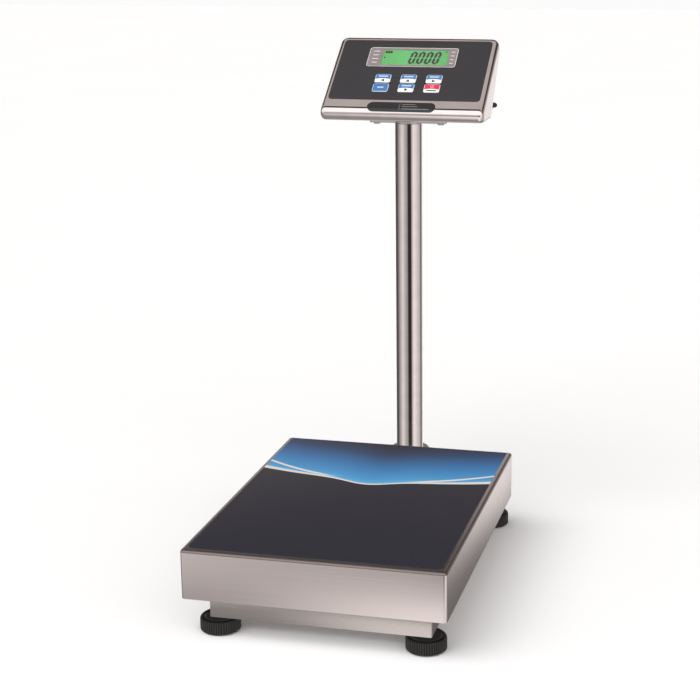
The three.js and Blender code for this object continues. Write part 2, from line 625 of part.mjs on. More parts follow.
// Pressed rear cover: a flange on the rear wall and a shallow box that holds the battery's back.
function addRearCover(head) {
  const rear = new THREE.Group();
  rear.position.set(0, HEAD.heelA, HEAD.heelN);
  rear.rotation.x = THREE.MathUtils.degToRad(REAR_SLOPE);
  head.add(rear);
  rear.updateWorldMatrix(true, false);
  const pivot = rear.worldToLocal(new THREE.Vector3(0, PIVOT.y, PIVOT.z));

  const wall = HEAD.wall;
  const { halfWidth, low, high, corner, boxHalf, boxDepth, boss, bossOut, screwX, screwY } = COVER;
  const outline = [[8, 3, 0.1], [21.2, -boxDepth, 4], [80, -boxDepth, 4], [86, 3, 0.1]];
  const opening = [[11, 4, 0.1], [22.4, wall - boxDepth, 2.5], [79, wall - boxDepth, 2.5], [84, 4, 0.1]];
  const flangeZ = [-wall - GAP, -GAP];
  const flange = plate(rectangle(0, (low + high) / 2, 2 * halfWidth, high - low, corner), flangeZ);
  const bulge = alongX(filleted(outline), [-boxHalf, boxHalf]);
  const bosses = SIDES.map(([side]) => {
    const span = [side * (boxHalf - 1), side * bossOut].sort((a, b) => a - b);
    return cylinderX(boss, pivot.y, pivot.z, span, 20);
  });
  const hollow = alongX(filleted(opening), [wall - boxHalf, boxHalf - wall]);
  const above = box([-120, 120], [-10, 120], [-GAP, 20]);
  const boltHole = cylinderX(PIVOT.bolt + 0.5, pivot.y, pivot.z, [-halfWidth, halfWidth]);
  const screwHoles = SIDES.map(([side]) => cylinderZ(1.9, side * screwX, screwY, [-5, 5], 12));
  const cover = cut(join(flange, bulge, ...bosses), hollow, above, boltHole, ...screwHoles);
  addMesh(rear, "rear_cover", cover, "brushedSteel");

  const seat = -wall - 2 * GAP;
  const screwProfile = [
    [0, -4.4], [1.8, -4.2], [3, -3.2], [3, seat], [1.5, seat], [1.5, -GAP / 2], [0, -GAP / 2],
  ];
  // Pivot bolt with a washer and a domed cap nut outside the bracket's ear.
  const out = PIVOT.earOut + GAP;
  const boltProfile = [
    [0, out - 12.3], [PIVOT.bolt, out - 12.3], [PIVOT.bolt, out], [5.6, out], [5.6, out + 0.8],
    [4.2, out + 0.8], [4.2, out + 4.6], [3, out + 5], [3.2, out + 6], [2.4, out + 8.6], [0, out + 9.6],
  ];
  for (const [side, name] of SIDES) {
    const screw = turned(screwProfile, 14);
    addMesh(rear, `cover_screw_${name}`, screw, "zincSteel").position.set(side * screwX, screwY, 0);
    const bolt = turned(boltProfile, 18).rotateY((side * Math.PI) / 2);
    addMesh(rear, `pivot_bolt_${name}`, bolt, "zincSteel").position.set(0, pivot.y, pivot.z);
  }

  const { radius, height } = INLET;
  const rim = radius - 1.9;
  const inlet = turned(
    [[0, -height], [4, -height], [rim, 0.9 - height], [rim, -1.2], [radius, -1.2], [radius, 0], [0, 0]],
    20,
  );
  addMesh(rear, "inlet_cap", inlet, "blackRubber").position.set(INLET.x, INLET.y, -boxDepth - GAP);
}

function addHead(group) {
  const head = placeOnFace(new THREE.Group());
  group.add(head);
  addMesh(head, "head_shell", headShell(), "polishedSteel");
  addFace(head);
  addInside(head);
  addRearCover(head);
}

// ---- assembly -----------------------------------------------------------------------------------------
const assembly = new THREE.Group();
addFrame(assembly);
addWeighing(assembly);
addFeet(assembly);
addPlatter(assembly);
addColumn(assembly);
addHead(assembly);

const bounds = new THREE.Box3().setFromObject(assembly, true);
assembly.position.y = -(bounds.min.y + bounds.max.y) / 2;

const scale = new THREE.Group();
scale.add(assembly);
export default scale;
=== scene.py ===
import math

import bmesh
import bpy
from mathutils import Matrix, Vector


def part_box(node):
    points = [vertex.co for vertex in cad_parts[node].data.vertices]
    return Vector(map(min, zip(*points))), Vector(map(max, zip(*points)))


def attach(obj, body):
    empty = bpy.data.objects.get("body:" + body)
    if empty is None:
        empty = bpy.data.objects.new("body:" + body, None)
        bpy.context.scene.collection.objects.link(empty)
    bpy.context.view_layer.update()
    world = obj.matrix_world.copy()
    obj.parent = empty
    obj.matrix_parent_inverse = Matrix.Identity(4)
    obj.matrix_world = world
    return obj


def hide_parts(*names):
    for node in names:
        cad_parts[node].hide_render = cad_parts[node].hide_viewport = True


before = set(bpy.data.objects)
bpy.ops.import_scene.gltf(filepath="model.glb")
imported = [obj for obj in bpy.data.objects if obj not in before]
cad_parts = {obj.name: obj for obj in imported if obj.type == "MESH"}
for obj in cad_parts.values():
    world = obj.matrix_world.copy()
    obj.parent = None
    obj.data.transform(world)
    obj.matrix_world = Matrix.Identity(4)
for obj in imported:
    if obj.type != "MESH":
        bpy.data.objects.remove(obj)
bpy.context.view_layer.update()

MM = 0.001
SIDES = ((-1, "left"), (1, "right"))
ENDS = ("front", "rear")
CORNERS = [f"{end}_{side}" for end in ENDS for _, side in SIDES]
SHARP = 35  # degrees; faces that meet at more than this shade as an edge
LEAST_ROUND = 0.05 * MM
LEAST_EDGE = 0.1 * MM
UNDER_EDGE = 0.15 * MM


def mm(*values):
    """Millimetres to metres."""
    return [value * MM for value in values]


# ---- places taken from the frame
def low(node):
    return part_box(node)[0]


def high(node):
    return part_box(node)[1]


def middle(node):
    lowest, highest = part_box(node)
    return (lowest + highest) / 2


def round_node(node):
    """An upright round node's axis, radius, underside and top."""
    lowest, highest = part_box(node)
    centre = middle(node)
    axis = Matrix.Translation((centre.x, centre.y, 0))
    return axis, (highest.x - lowest.x) / 2, lowest.z, highest.z


FACE_SLOPE = math.radians(36)
REAR_SLOPE = math.radians(17.7)  # rear wall against the face
OVERLAY_MID = 0.7 * MM  # middle of the film above the shell's face

face_normal = Vector((0, -math.sin(FACE_SLOPE), math.cos(FACE_SLOPE)))
face_origin = middle("overlay_panel") - face_normal * OVERLAY_MID
FACE = Matrix.Translation(face_origin) @ Matrix.Rotation(FACE_SLOPE, 4, "X")


# ---- shapes
def rectangle(x0, x1, y0, y1, *radii):
    """Corners [x, y, radius], anticlockwise from the lower left; one radius for all, or one for each."""
    radii = radii * 4 if len(radii) == 1 else radii
    places = ((x0, y0), (x1, y0), (x1, y1), (x0, y1))
    return [(x, y, radius) for (x, y), radius in zip(places, radii)]


def centred(x, y, half_x, half_y, radius):
    return rectangle(x - half_x, x + half_x, y - half_y, y + half_y, radius)


def corner_axes(corners, i):
    here = Vector(corners[i][:2])
    before = (Vector(corners[i - 1][:2]) - here).normalized()
    after = (Vector(corners[(i + 1) % len(corners)][:2]) - here).normalized()
    return here, before, after, before.angle(after) / 2


def filleted(corners, steps=5):
    """The points of a convex outline with a round at each corner."""
    points = []
    for i, (_, _, radius) in enumerate(corners):
        here, before, after, half = corner_axes(corners, i)
        centre = here + (before + after).normalized() * (radius / math.sin(half))
        spoke = here + before * (radius / math.tan(half)) - centre
        for k in range(steps + 1):
            turn = Matrix.Rotation((math.pi - 2 * half) * k / steps, 2)
            points.append(centre + turn @ spoke)
    return points


def inset(corners, distance):
    """The same outline moved inwards; its rounds get smaller by as much, down to almost nothing."""
    moved = []
    for i, (_, _, radius) in enumerate(corners):
        here, before, after, half = corner_axes(corners, i)
        place = here + (before + after).normalized() * (distance / math.sin(half))
        moved.append((place.x, place.y, max(radius - distance, LEAST_ROUND)))
    return moved


def shift(x, y, z):
    return Matrix.Translation((x, y, z))


def spin(degrees, axis):
    return Matrix.Rotation(math.radians(degrees), 4, axis)


def polar(reach, turn, z):
    return Vector((reach * math.cos(turn), reach * math.sin(turn), z))


def level(points, z):
    return [Vector((p[0], p[1], z)) for p in points]


def quarter(steps):
    """(inwards, upwards) shares along a quarter round, from the wall to the flat."""
    turns = [math.pi / 2 * k / steps for k in range(steps + 1)]
    return [(1 - math.cos(turn), math.sin(turn)) for turn in turns]


class Shape:
    """Closed bodies gathered into one mesh."""

    def __init__(self):
        self.points = []
        self.faces = []

    def loft(self, rings, place=None, closed=False):
        first = len(self.points)
        count = len(rings[0])
        for ring in rings:
            self.points.extend(place @ p if place else p for p in ring)
        last = len(rings) if closed else len(rings) - 1
        for j in range(last):
            a = first + j * count
            b = first + (j + 1) % len(rings) * count
            for i in range(count):
                k = (i + 1) % count
                self.faces.append((a + i, a + k, b + k, b + i))
        if not closed:
            self.faces.append(tuple(first + i for i in reversed(range(count))))
            self.faces.append(tuple(first + last * count + i for i in range(count)))
        return self

    def slab(self, corners, z0, z1, edge=0.0, steps=3, place=None, corner_steps=5):
        """A plate of an outline between two heights, with round upper edges and small lower ones."""
        under = min(edge, UNDER_EDGE)
        rings = [level(filleted(inset(corners, under), corner_steps), z0)]
        rings.append(level(filleted(corners, corner_steps), z0 + under))
        for inwards, upwards in quarter(steps):
            outline = filleted(inset(corners, edge * inwards), corner_steps)
            rings.append(level(outline, z1 - edge + edge * upwards))
        return self.loft(rings, place)

    def turned(self, profile, count=48, place=None, rib_count=0, rib_depth=0.0):
        """A turned body about Z from (radius, height, rib share) points, bottom first."""
        rings = []
        for radius, z, share in profile:
            ring = []
            for i in range(count):
                turn = 2 * math.pi * i / count
                swing = 0.5 - 0.5 * math.cos(rib_count * turn)
                groove = swing * swing * (3 - 2 * swing)
                reach = radius - rib_depth * share * groove
                ring.append(polar(reach, turn, z))
            rings.append(ring)
        return self.loft(rings, place)

    def mesh(self, name):
        made = bpy.data.meshes.new(name)
        made.from_pydata(self.points, [], self.faces)
        solid = bmesh.new()
        solid.from_mesh(made)
        bmesh.ops.recalc_face_normals(solid, faces=solid.faces)
        solid.to_mesh(made)
        solid.free()
        return made


def plain(profile, unit=1):
    """A turned body's (radius, height) points, without ribs."""
    return [(radius * unit, z * unit, 0) for radius, z in profile]


def stepped(radius, z, *steps):
    """Points so many millimetres inside a radius and above a height; a third number is the rib share."""
    return [(radius - inwards * MM, z + rise * MM, *(share or [0])) for inwards, rise, *share in steps]


def domed(radius, z, rise, steps):
    """Points up a quarter round that stops short of the axis."""
    turns = [math.pi / 2 * k / steps for k in range(steps)]
    return [(radius * math.cos(turn), z + rise * math.sin(turn), 0) for turn in turns]


def baked(obj):
    """Applies the object's modifiers to its mesh."""
    graph = bpy.context.evaluated_depsgraph_get()
    obj.data = bpy.data.meshes.new_from_object(obj.evaluated_get(graph))
    obj.modifiers.clear()


def new_object(name, mesh):
    obj = bpy.data.objects.new(name, mesh)
    bpy.context.scene.collection.objects.link(obj)
    return obj


def finish_piece(obj, material, body, nodes=(), sharp=SHARP):
    """Every piece is hidden from reflections, so that polished faces mirror only the studio."""
    obj.data.materials.clear()
    obj.data.materials.append(material)
    obj.data.polygons.foreach_set("use_smooth", [True] * len(obj.data.polygons))
    obj.data.set_sharp_from_angle(angle=math.radians(sharp))
    obj.visible_glossy = False
    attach(obj, body)
    if nodes:
        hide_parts(*nodes)


def piece(name, shape, material, body, nodes=(), place=None, sharp=SHARP, tools=(), bake=None):
    """A piece of a shape, cut by tools; its mesh is moved by bake, and the object by place."""
    obj = new_object(name, shape.mesh(name))
    if tools:
        carve(obj, tools)
    if bake:
        obj.data.transform(bake)
    if place:
        obj.matrix_world = place
    finish_piece(obj, material, body, nodes, sharp)
    return obj


def on_face(name, shape, material, nodes=()):
    piece(name, shape, material, "head", nodes, FACE)


def carve(obj, tools):
    """Cuts the tools' bodies out of an object."""
    cutters = []
    for i, tool in enumerate(tools):
        cutter = new_object(f"cutter_{i}", tool.mesh(f"cutter_{i}"))
        cutters.append(cutter)
        step = obj.modifiers.new(f"cut_{i}", "BOOLEAN")
        step.operation = "DIFFERENCE"
        step.solver = "EXACT"
        step.object = cutter
    bpy.context.view_layer.update()
    baked(obj)
    for cutter in cutters:
        bpy.data.objects.remove(cutter)


def eased(node, name, material, width, body="base"):
    """A node's own shape with its edges broken by a small round, its width in millimetres."""
    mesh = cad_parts[node].data.copy()
    solid = bmesh.new()
    solid.from_mesh(mesh)
    bmesh.ops.remove_doubles(solid, verts=solid.verts, dist=0.001 * MM)
    bmesh.ops.dissolve_limit(
        solid, angle_limit=math.radians(1), verts=solid.verts, edges=solid.edges
    )
    solid.to_mesh(mesh)
    solid.free()
    obj = new_object(name, mesh)
    round_off = obj.modifiers.new("edges", "BEVEL")
    round_off.width = width * MM
    round_off.segments = 3
    round_off.limit_method = "ANGLE"
    round_off.angle_limit = math.radians(40)
    round_off.use_clamp_overlap = True
    baked(obj)
    finish_piece(obj, material, body, [node])


# ---- materials
def shade(colour, share):
    return tuple(value * share for value in colour)


def operation(name):
    return lambda paint, *values: paint.add("ShaderNodeMath", *values, operation=name).outputs[0]


class Paint:
    """A node tree with short calls for the nodes used here."""

    plus = operation("ADD")
    minus = operation("SUBTRACT")
    times = operation("MULTIPLY")
    over = operation("DIVIDE")
    size = operation("ABSOLUTE")
    larger = operation("MAXIMUM")
    root = operation("SQRT")
    power_of_e = operation("EXPONENT")
    direction = operation("ARCTAN2")
    arc_sine = operation("ARCSINE")

    def __init__(self, tree):
        self.tree = tree

    def add(self, kind, *inputs, **settings):
        node = self.tree.nodes.new(kind)
        for key, value in settings.items():
            setattr(node, key, value)
        for socket, value in zip(node.inputs, inputs):
            self.feed(socket, value)
        return node

    def feed(self, socket, value):
        if isinstance(value, bpy.types.NodeSocket):
            self.tree.links.new(value, socket)
        elif socket.type == "RGBA":
            socket.default_value = (*value, 1)
        else:
            socket.default_value = value

    def place(self):
        """X, Y and Z of the point in the piece's own axes."""
        coordinates = self.add("ShaderNodeTexCoord").outputs["Object"]
        return coordinates, self.add("ShaderNodeSeparateXYZ", coordinates).outputs

    def noise(self, place, stretch, detail):
        """Noise with so many lumps to the metre, one number or one for each axis."""
        scaled = self.add("ShaderNodeMapping", place)
        scaled.inputs["Scale"].default_value = stretch if isinstance(stretch, tuple) else (stretch,) * 3
        node = self.add("ShaderNodeTexNoise")
        self.feed(node.inputs["Vector"], scaled.outputs[0])
        node.inputs["Scale"].default_value = 1
        node.inputs["Detail"].default_value = detail
        return node.outputs["Fac"]

    def span(self, value, low_in, high_in, low_out, high_out):
        return self.add("ShaderNodeMapRange", value, low_in, high_in, low_out, high_out).outputs[0]

    def smooth(self, value, low_in, high_in):
        node = self.add("ShaderNodeMapRange", value, low_in, high_in)
        node.interpolation_type = "SMOOTHSTEP"
        return node.outputs[0]

    def mix(self, share, first, second):
        node = self.add("ShaderNodeMix", data_type="RGBA")
        self.feed(node.inputs["Factor"], share)
        self.feed(node.inputs[6], first)
        self.feed(node.inputs[7], second)
        return node.outputs[2]

    def ramp(self, value, *stops):
        node = self.add("ShaderNodeValToRGB", value)
        elements = node.color_ramp.elements
        while len(elements) < len(stops):
            elements.new(0.5)
        for element, (position, colour) in zip(elements, stops):
            element.position = position
            element.color = (*colour, 1)
        return node.outputs[0]


class Finish(Paint):
    """A Principled material; keyword names are its sockets with _ for a space."""

    def __init__(self, name, **sockets):
        self.material = bpy.data.materials.new(name)
        self.material.use_nodes = True
        super().__init__(self.material.node_tree)
        self.shader = self.tree.nodes["Principled BSDF"]
        self.set(**sockets)

    def set(self, **sockets):
        for name, value in sockets.items():
            self.feed(self.shader.inputs[name.replace("_", " ")], value)

    def bump(self, height, distance, strength):
        node = self.add("ShaderNodeBump")
        node.inputs["Strength"].default_value = strength
        node.inputs["Distance"].default_value = distance
        self.feed(node.inputs["Height"], height)
        self.feed(self.shader.inputs["Normal"], node.outputs[0])

    def grained(self, place, scale, detail, gloss, relief, strength):
        """One grain in roughness and relief, the last thing a finish needs."""
        grain = self.noise(place, scale, detail)
        self.set(Roughness=self.span(grain, 0.3, 0.7, *gloss))
        self.bump(grain, relief * MM, strength)
        return self.material


def brushed(name, colour, dark, roughness, stretch):
    """Sheet steel brushed along one direction: fine streaks in colour, gloss and relief."""
    paint = Finish(name, Metallic=1.0)
    place, _ = paint.place()
    streaks = paint.noise(place, stretch, 3)
    clouds = paint.noise(place, 6, 2)
    tone = paint.plus(paint.times(streaks, 0.7), paint.times(clouds, 0.3))
    paint.set(Base_Color=paint.mix(paint.span(tone, 0.35, 0.65, 0, 1), dark, colour))
    paint.set(Roughness=paint.span(tone, 0.3, 0.7, roughness - 0.02, roughness + 0.03))
    paint.bump(streaks, 0.002 * MM, 0.35)
    return paint.material


def polished(name, colour, roughness):
    """Mirror-polished steel: almost clean, with faint buffing haze and a slow ripple."""
    paint = Finish(name, Metallic=1.0)
    place, _ = paint.place()
    haze = paint.noise(place, 60, 4)
    ripple = paint.noise(place, 9, 1)
    paint.set(Base_Color=paint.mix(paint.span(haze, 0.35, 0.65, 0, 1), shade(colour, 0.94), colour))
    paint.set(Roughness=paint.span(haze, 0.3, 0.7, roughness, roughness + 0.035))
    paint.bump(ripple, 0.02 * MM, 0.25)
    return paint.material


def plastic(name, colour, roughness, grain_size, relief, variation, **sockets):
    """Moulded plastic, rubber or paint with a fine grain; its size and relief are in millimetres."""
    paint = Finish(name, **sockets)
    place, _ = paint.place()
    patches = paint.noise(place, 25, 2)
    paint.set(Base_Color=paint.mix(paint.span(patches, 0.3, 0.7, 0, 1), shade(colour, 1 - variation), colour))
    gloss = (roughness - 0.05, roughness + 0.06)
    return paint.grained(place, 1 / (grain_size * MM), 3, gloss, relief, 0.6)


def mat_print():
    """Dark film with a blue band at the back, behind two pale waves that meet in the middle."""
    paint = Finish("mat_print", Coat_Weight=0.1, Coat_Roughness=0.3, Specular_IOR_Level=0.3)
    place, (x, y, _) = paint.place()
    front = low("platter").y
    across = paint.over(x, MAT_HALF)
    bowl = paint.times(across, across)
    swing = paint.over(paint.plus(x, 3 * MM), 35 * MM)
    dip = paint.power_of_e(paint.times(paint.times(swing, swing), -1.0))
    wave = paint.minus(paint.times(bowl, 21 * MM), paint.times(dip, 14 * MM))
    lower = paint.plus(wave, front + 261 * MM)
    upper = paint.plus(paint.times(bowl, 49 * MM), front + 263 * MM)
    past = paint.minus(y, lower)
    past_upper = paint.minus(y, upper)
    width = paint.plus(paint.times(bowl, 5.5 * MM), 3.8 * MM)

    depth = paint.span(past, 0.0, 150 * MM, 0.0, 1.0)
    band = paint.ramp(
        depth,
        (0.0, (0.13, 0.42, 0.66)),
        (0.12, (0.065, 0.29, 0.56)),
        (0.42, (0.035, 0.16, 0.38)),
        (0.72, (0.022, 0.05, 0.12)),
        (0.95, (0.012, 0.013, 0.026)),
    )
    blur = 0.35 * MM
    behind = paint.smooth(past, -blur, blur)
    line_end = paint.smooth(paint.minus(past, width), -blur, blur)
    line = paint.minus(behind, line_end)
    thin = paint.minus(1.0, paint.smooth(paint.size(past_upper), *mm(2.4, 3.0)))
    sides = paint.smooth(paint.size(x), *mm(38, 75))
    thin = paint.times(paint.times(thin, sides), behind)
    pale = (0.70, 0.67, 0.63)
    film = paint.noise(place, 60, 3)
    dark = paint.mix(film, (0.0235, 0.0225, 0.0315), (0.0265, 0.0255, 0.0350))
    colour = paint.mix(behind, dark, band)
    colour = paint.mix(thin, colour, pale)
    paint.set(Base_Color=paint.mix(line, colour, pale))
    return paint.grained(place, 1800, 2, (0.36, 0.44), 0.006, 0.5)


def ribbed_plastic():
    """Black wheel plastic with painted light: paler on the ribs' crests as a painted highlight, darker in the
    grooves as painted shade.
    """
    paint = Finish("foot_black", Specular_IOR_Level=0.3)
    place, (x, y, _) = paint.place()
    front, rear = middle("foot_wheel_front_right"), middle("foot_wheel_rear_right")
    radius = high("foot_wheel_front_right").x - front.x
    across = paint.minus(paint.size(x), front.x)
    along = paint.size(paint.minus(y, (front.y + rear.y) / 2))
    along = paint.minus(along, (rear.y - front.y) / 2)
    squares = paint.plus(paint.times(across, across), paint.times(along, along))
    reach = paint.root(squares)
    # crest mask by distance from the wheel's axis: the paler crest colour is a painted highlight, the darker
    # groove colour painted shade
    crest = paint.smooth(reach, radius - 0.9 * RIB_DEPTH, radius - 0.15 * RIB_DEPTH)
    paint.set(Base_Color=paint.mix(crest, (0.0022, 0.0018, 0.0018), (0.030, 0.026, 0.025)))
    return paint.grained(place, 2000, 3, (0.3, 0.42), 0.006, 0.6)


def key_print_edge_highlight(name, upper, lower, split):
    """A printed key cap in its own axes: coloured upper part and white lower part, with a pale band over the
    rounded edge that is a painted highlight.
    """
    paint = Finish(name, Coat_Weight=0.3, Coat_Roughness=0.15)
    place, (x, y, _) = paint.place()
    arch = paint.times(paint.times(x, x), -16.0)
    edge = paint.minus(y, paint.plus(arch, split))
    above = paint.smooth(edge, -0.1 * MM, 0.1 * MM)
    # band over the cap's rounded edge, painted pale as a painted highlight
    painted_edge_highlights = []
    for reach, half in ((x, KEY_WIDTH / 2), (y, KEY_HEIGHT / 2)):
        painted_edge_highlights.append(paint.smooth(paint.size(reach), half - 0.85 * MM, half - 0.65 * MM))
    rim = paint.larger(*painted_edge_highlights)
    tone = paint.noise(place, 120, 2)
    deep = shade(upper, 0.82)
    colour = paint.mix(above, lower, paint.mix(tone, deep, upper))
    # painted highlight: the rounded edge in a pale bluish grey
    paint.set(Base_Color=paint.mix(rim, colour, (0.62, 0.66, 0.72)))
    return paint.grained(place, 3000, 2, (0.32, 0.42), 0.004, 0.4)


def lcd_print():
    """Backlit display: even green, a little brighter towards its middle."""
    paint = Finish("display_green", Coat_Weight=0.1, Coat_Roughness=0.2)
    place, (x, y, _) = paint.place()
    reach = paint.larger(paint.size(x), paint.size(y))
    glow = paint.span(reach, 0.0, 45 * MM, 1.0, 0.0)
    cells = paint.noise(place, 900, 1)
    colour = paint.mix(glow, (0.064, 0.315, 0.078), (0.082, 0.365, 0.098))
    paint.set(Base_Color=paint.mix(paint.span(cells, 0.4, 0.6, 0.9, 1.0), (0.05, 0.28, 0.07), colour))
    paint.set(Emission_Color=colour, Emission_Strength=0.22, Roughness=0.35)
    return paint.material


def clear_lens(name, colour, alpha):
    paint = Finish(name, Alpha=alpha, IOR=1.45, Specular_IOR_Level=0.3)
    place, _ = paint.place()
    smear = paint.noise(place, 40, 3)
    paint.set(Base_Color=paint.mix(smear, colour, shade(colour, 0.9)))
    paint.set(Roughness=paint.span(smear, 0.3, 0.7, 0.03, 0.09))
    return paint.material


MAT_HALF = 146 * MM
RIBS = 50  # round each foot's hand wheel
RIB_DEPTH = 1.6 * MM
KEY_WIDTH, KEY_HEIGHT = mm(20.6, 15.6)
BLUE = (0.055, 0.17, 0.42)
RED = (0.72, 0.028, 0.075)
WHITE = (0.80, 0.80, 0.79)

steel_x = brushed("steel_brushed_x", (0.83, 0.76, 0.75), (0.805, 0.735, 0.725), 0.22, (3, 900, 900))
steel_y = brushed("steel_brushed_y", (0.78, 0.715, 0.70), (0.75, 0.685, 0.67), 0.24, (900, 3, 900))
# a darker copy of the skirt steel for the rolled bends: painted shade standing in for their darker
# reflections
bend_steel_painted_shade = brushed("steel_bend_painted_shade", (0.30, 0.255, 0.245), (0.26, 0.22, 0.21), 0.34, 900)
rail_steel = brushed("steel_rail", (0.60, 0.56, 0.54), (0.57, 0.53, 0.51), 0.26, (3, 900, 900))
steel_z = brushed("steel_brushed_z", (0.72, 0.69, 0.67), (0.64, 0.61, 0.59), 0.3, (900, 900, 5))
zinc = plastic("zinc_plate", (0.60, 0.60, 0.575), 0.36, 1.1, 0.008, 0.16, Metallic=1.0)
mirror = polished("steel_polished", (0.87, 0.80, 0.79), 0.045)
cell_metal = brushed("cell_aluminium", (0.74, 0.75, 0.77), (0.66, 0.67, 0.69), 0.34, (900, 30, 900))
mat_film = mat_print()
panel_film = plastic("panel_film", (0.031, 0.029, 0.032), 0.45, 0.35, 0.006, 0.08)
plate_film = plastic("plate_film", (0.020, 0.019, 0.021), 0.34, 0.35, 0.004, 0.1)
border_print = plastic("window_border", (0.225, 0.18, 0.18), 0.4, 0.4, 0.004, 0.07)
pale_print = plastic("pale_print", (0.66, 0.64, 0.64), 0.45, 0.4, 0.002, 0.06)
dim_print = plastic("dim_print", (0.22, 0.21, 0.22), 0.45, 0.4, 0.002, 0.08)
key_legend = plastic("key_legend", (0.50, 0.60, 0.74), 0.45, 0.4, 0.002, 0.06)
dark_print = plastic("dark_print", (0.012, 0.010, 0.006), 0.5, 0.4, 0.002, 0.2)
lens = clear_lens("window_lens", (0.5, 0.5, 0.5), 0.05)
display_green = lcd_print()
key_blue_white = key_print_edge_highlight("key_blue_white", BLUE, WHITE, -0.3 * MM)
key_blue = key_print_edge_highlight("key_blue", BLUE, BLUE, -20 * MM)
key_red_white = key_print_edge_highlight("key_red_white", RED, WHITE, -1.2 * MM)
foot_plastic = ribbed_plastic()
nut_bronze = plastic("nut_dark", (0.045, 0.030, 0.026), 0.3, 0.6, 0.006, 0.2, Metallic=0.7)
rubber = plastic("sole_rubber", (0.014, 0.0135, 0.0135), 0.75, 0.5, 0.03, 0.3)
board_green = plastic("circuit_board", (0.02, 0.14, 0.06), 0.4, 2, 0.02, 0.3, Coat_Weight=0.4)
battery_shell = plastic("battery_case", (0.03, 0.035, 0.045), 0.5, 0.7, 0.02, 0.2)
frame_plastic = plastic("display_frame", (0.55, 0.55, 0.52), 0.5, 0.7, 0.01, 0.1)
vial_glass = clear_lens("vial_glass", (0.9, 0.95, 0.8), 0.18)
vial_fluid = plastic("vial_fluid", (0.52, 0.68, 0.05), 0.15, 3, 0.002, 0.15)


# ---- platter
BEND = 3.4 * MM
SHEET = 1.5 * MM
PLATTER_CORNER = 4.0 * MM
MAT_MARGIN = 3 * MM  # the printed mat stops this much inside the frame's mat
STEEPEST, FLATTEST = 0.05, 0.98  # upward share of a face's normal, between wall and top


def make_platter():
    (x0, y0, z0), (x1, y1, z1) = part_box("platter")
    outer = rectangle(x0, x1, y0, y1, PLATTER_CORNER)
    inner = inset(outer, SHEET)
    lip = 0.3 * MM
    bend = BEND - SHEET
    steps = [(inner, bend * i, z1 - SHEET - bend + bend * up) for i, up in reversed(quarter(4))]
    steps += [(inner, 0, z0 + lip), (inner, -lip, z0), (outer, lip, z0), (outer, 0, z0 + lip)]
    steps += [(outer, BEND * i, z1 - BEND + BEND * up) for i, up in quarter(6)]
    shape = Shape().loft([level(filleted(inset(corners, i)), z) for corners, i, z in steps])
    cover = piece("platter_cover", shape, steel_x, "platter_unit", ["platter"])
    # faces between wall and top, the bends, get the darker steel copy as painted shade
    cover.data.materials.append(bend_steel_painted_shade)
    for face in cover.data.polygons:
        if STEEPEST < face.normal.z < FLATTEST:
            face.material_index = 1

    (x0, y0, z0), (x1, y1, z1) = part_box("graphic_mat")
    outline = inset(rectangle(x0, x1, y0, y1, *mm(12, 12, 4, 4)), MAT_MARGIN)
    mat = Shape().slab(outline, z0, z1, 0.3 * MM, corner_steps=10)
    piece("platter_mat", mat, mat_film, "platter_unit", ["graphic_mat"])


# ---- frame, feet and weighing parts
def make_frame():
    for end in ENDS:
        eased(f"{end}_rail", f"{end}_rail_channel", rail_steel, 0.6)
    for _, side in SIDES:
        eased(f"{side}_side_rail", f"{side}_side_channel", steel_y, 0.6)
    eased("load_cell_beam", "cell_beam", zinc, 0.8)
    eased("load_cell", "cell_body", cell_metal, 0.4)
    eased("upper_spacer", "cell_spacer", zinc, 0.5)
    for end in ("centre", *ENDS):
        eased(f"platter_bar_{end}", f"carrier_bar_{end}", zinc, 0.8)
    for place in ("lower_1", "lower_2", "upper_1", "upper_2"):
        eased(f"cell_bolt_{place}", f"cell_screw_{place}", zinc, 0.3)
    for corner in CORNERS:
        eased(f"overload_stop_{corner}", f"stop_screw_{corner}", zinc, 0.3)
        axis, radius, z0, z1 = round_node(f"rubber_pad_{corner}")
        profile = stepped(radius, z0, (0.8, 0), (0, 0.8)) + stepped(radius, z1, (0, -0.8), (0.8, 0))
        profile += plain([(radius * 0.4, z1), (radius * 0.3, z1 - 0.8 * MM)])
        pad = Shape().turned(profile, 40, axis)
        piece(f"rest_pad_{corner}", pad, rubber, "base", [f"rubber_pad_{corner}"])


def make_level():
    axis, radius, z0, z1 = round_node("bubble_level")
    cup = stepped(radius, z0, (0.4, 0), (0, 0.4), (0, 4.6), (0.8, 5.4), (2, 5.4), (2.4, 3.2))
    piece("level_cup", Shape().turned(cup, place=axis), zinc, "base", ["bubble_level"])
    fluid = stepped(radius, z0, (3, 3.4), (3, 5.6)) + plain([(4 * MM, z0 + 6.8 * MM)])
    piece("level_fluid", Shape().turned(fluid, place=axis), vial_fluid, "base")
    rim = z0 + 5.6 * MM
    dome = domed(radius - 2.6 * MM, rim, z1 - rim, 9)
    piece("level_dome", Shape().turned(dome, place=axis), vial_glass, "base")


THREAD_PITCH = 1.5 * MM
THREAD_DEPTH = 0.85 * MM
STUD_RADIUS = 5 * MM
STUD_HOLE = 5.4 * MM
WHEEL_TOP = 17 * MM
WHEEL_FLOOR = WHEEL_TOP - 3 * MM
SOLE_GAP = 0.3 * MM


def threaded(radius, z0, z1, place):
    """A screw thread: the surface's radius swings with height and turn, one crest for each pitch."""
    turns, rows_per_pitch = 28, 6
    rows = int((z1 - z0) / THREAD_PITCH * rows_per_pitch)
    rings = []
    for j in range(rows + 1):
        z = z0 + (z1 - z0) * j / rows
        ends = min(1.0, 0.35 + min(j, rows - j) / rows_per_pitch)
        ring = []
        for i in range(turns):
            share = (z / THREAD_PITCH - i / turns) % 1.0
            reach = radius - THREAD_DEPTH * (1 - abs(2 * share - 1)) - (1 - ends) * 0.6 * MM
            ring.append(polar(reach, 2 * math.pi * i / turns, z))
        rings.append(ring)
    return Shape().loft(rings, place)


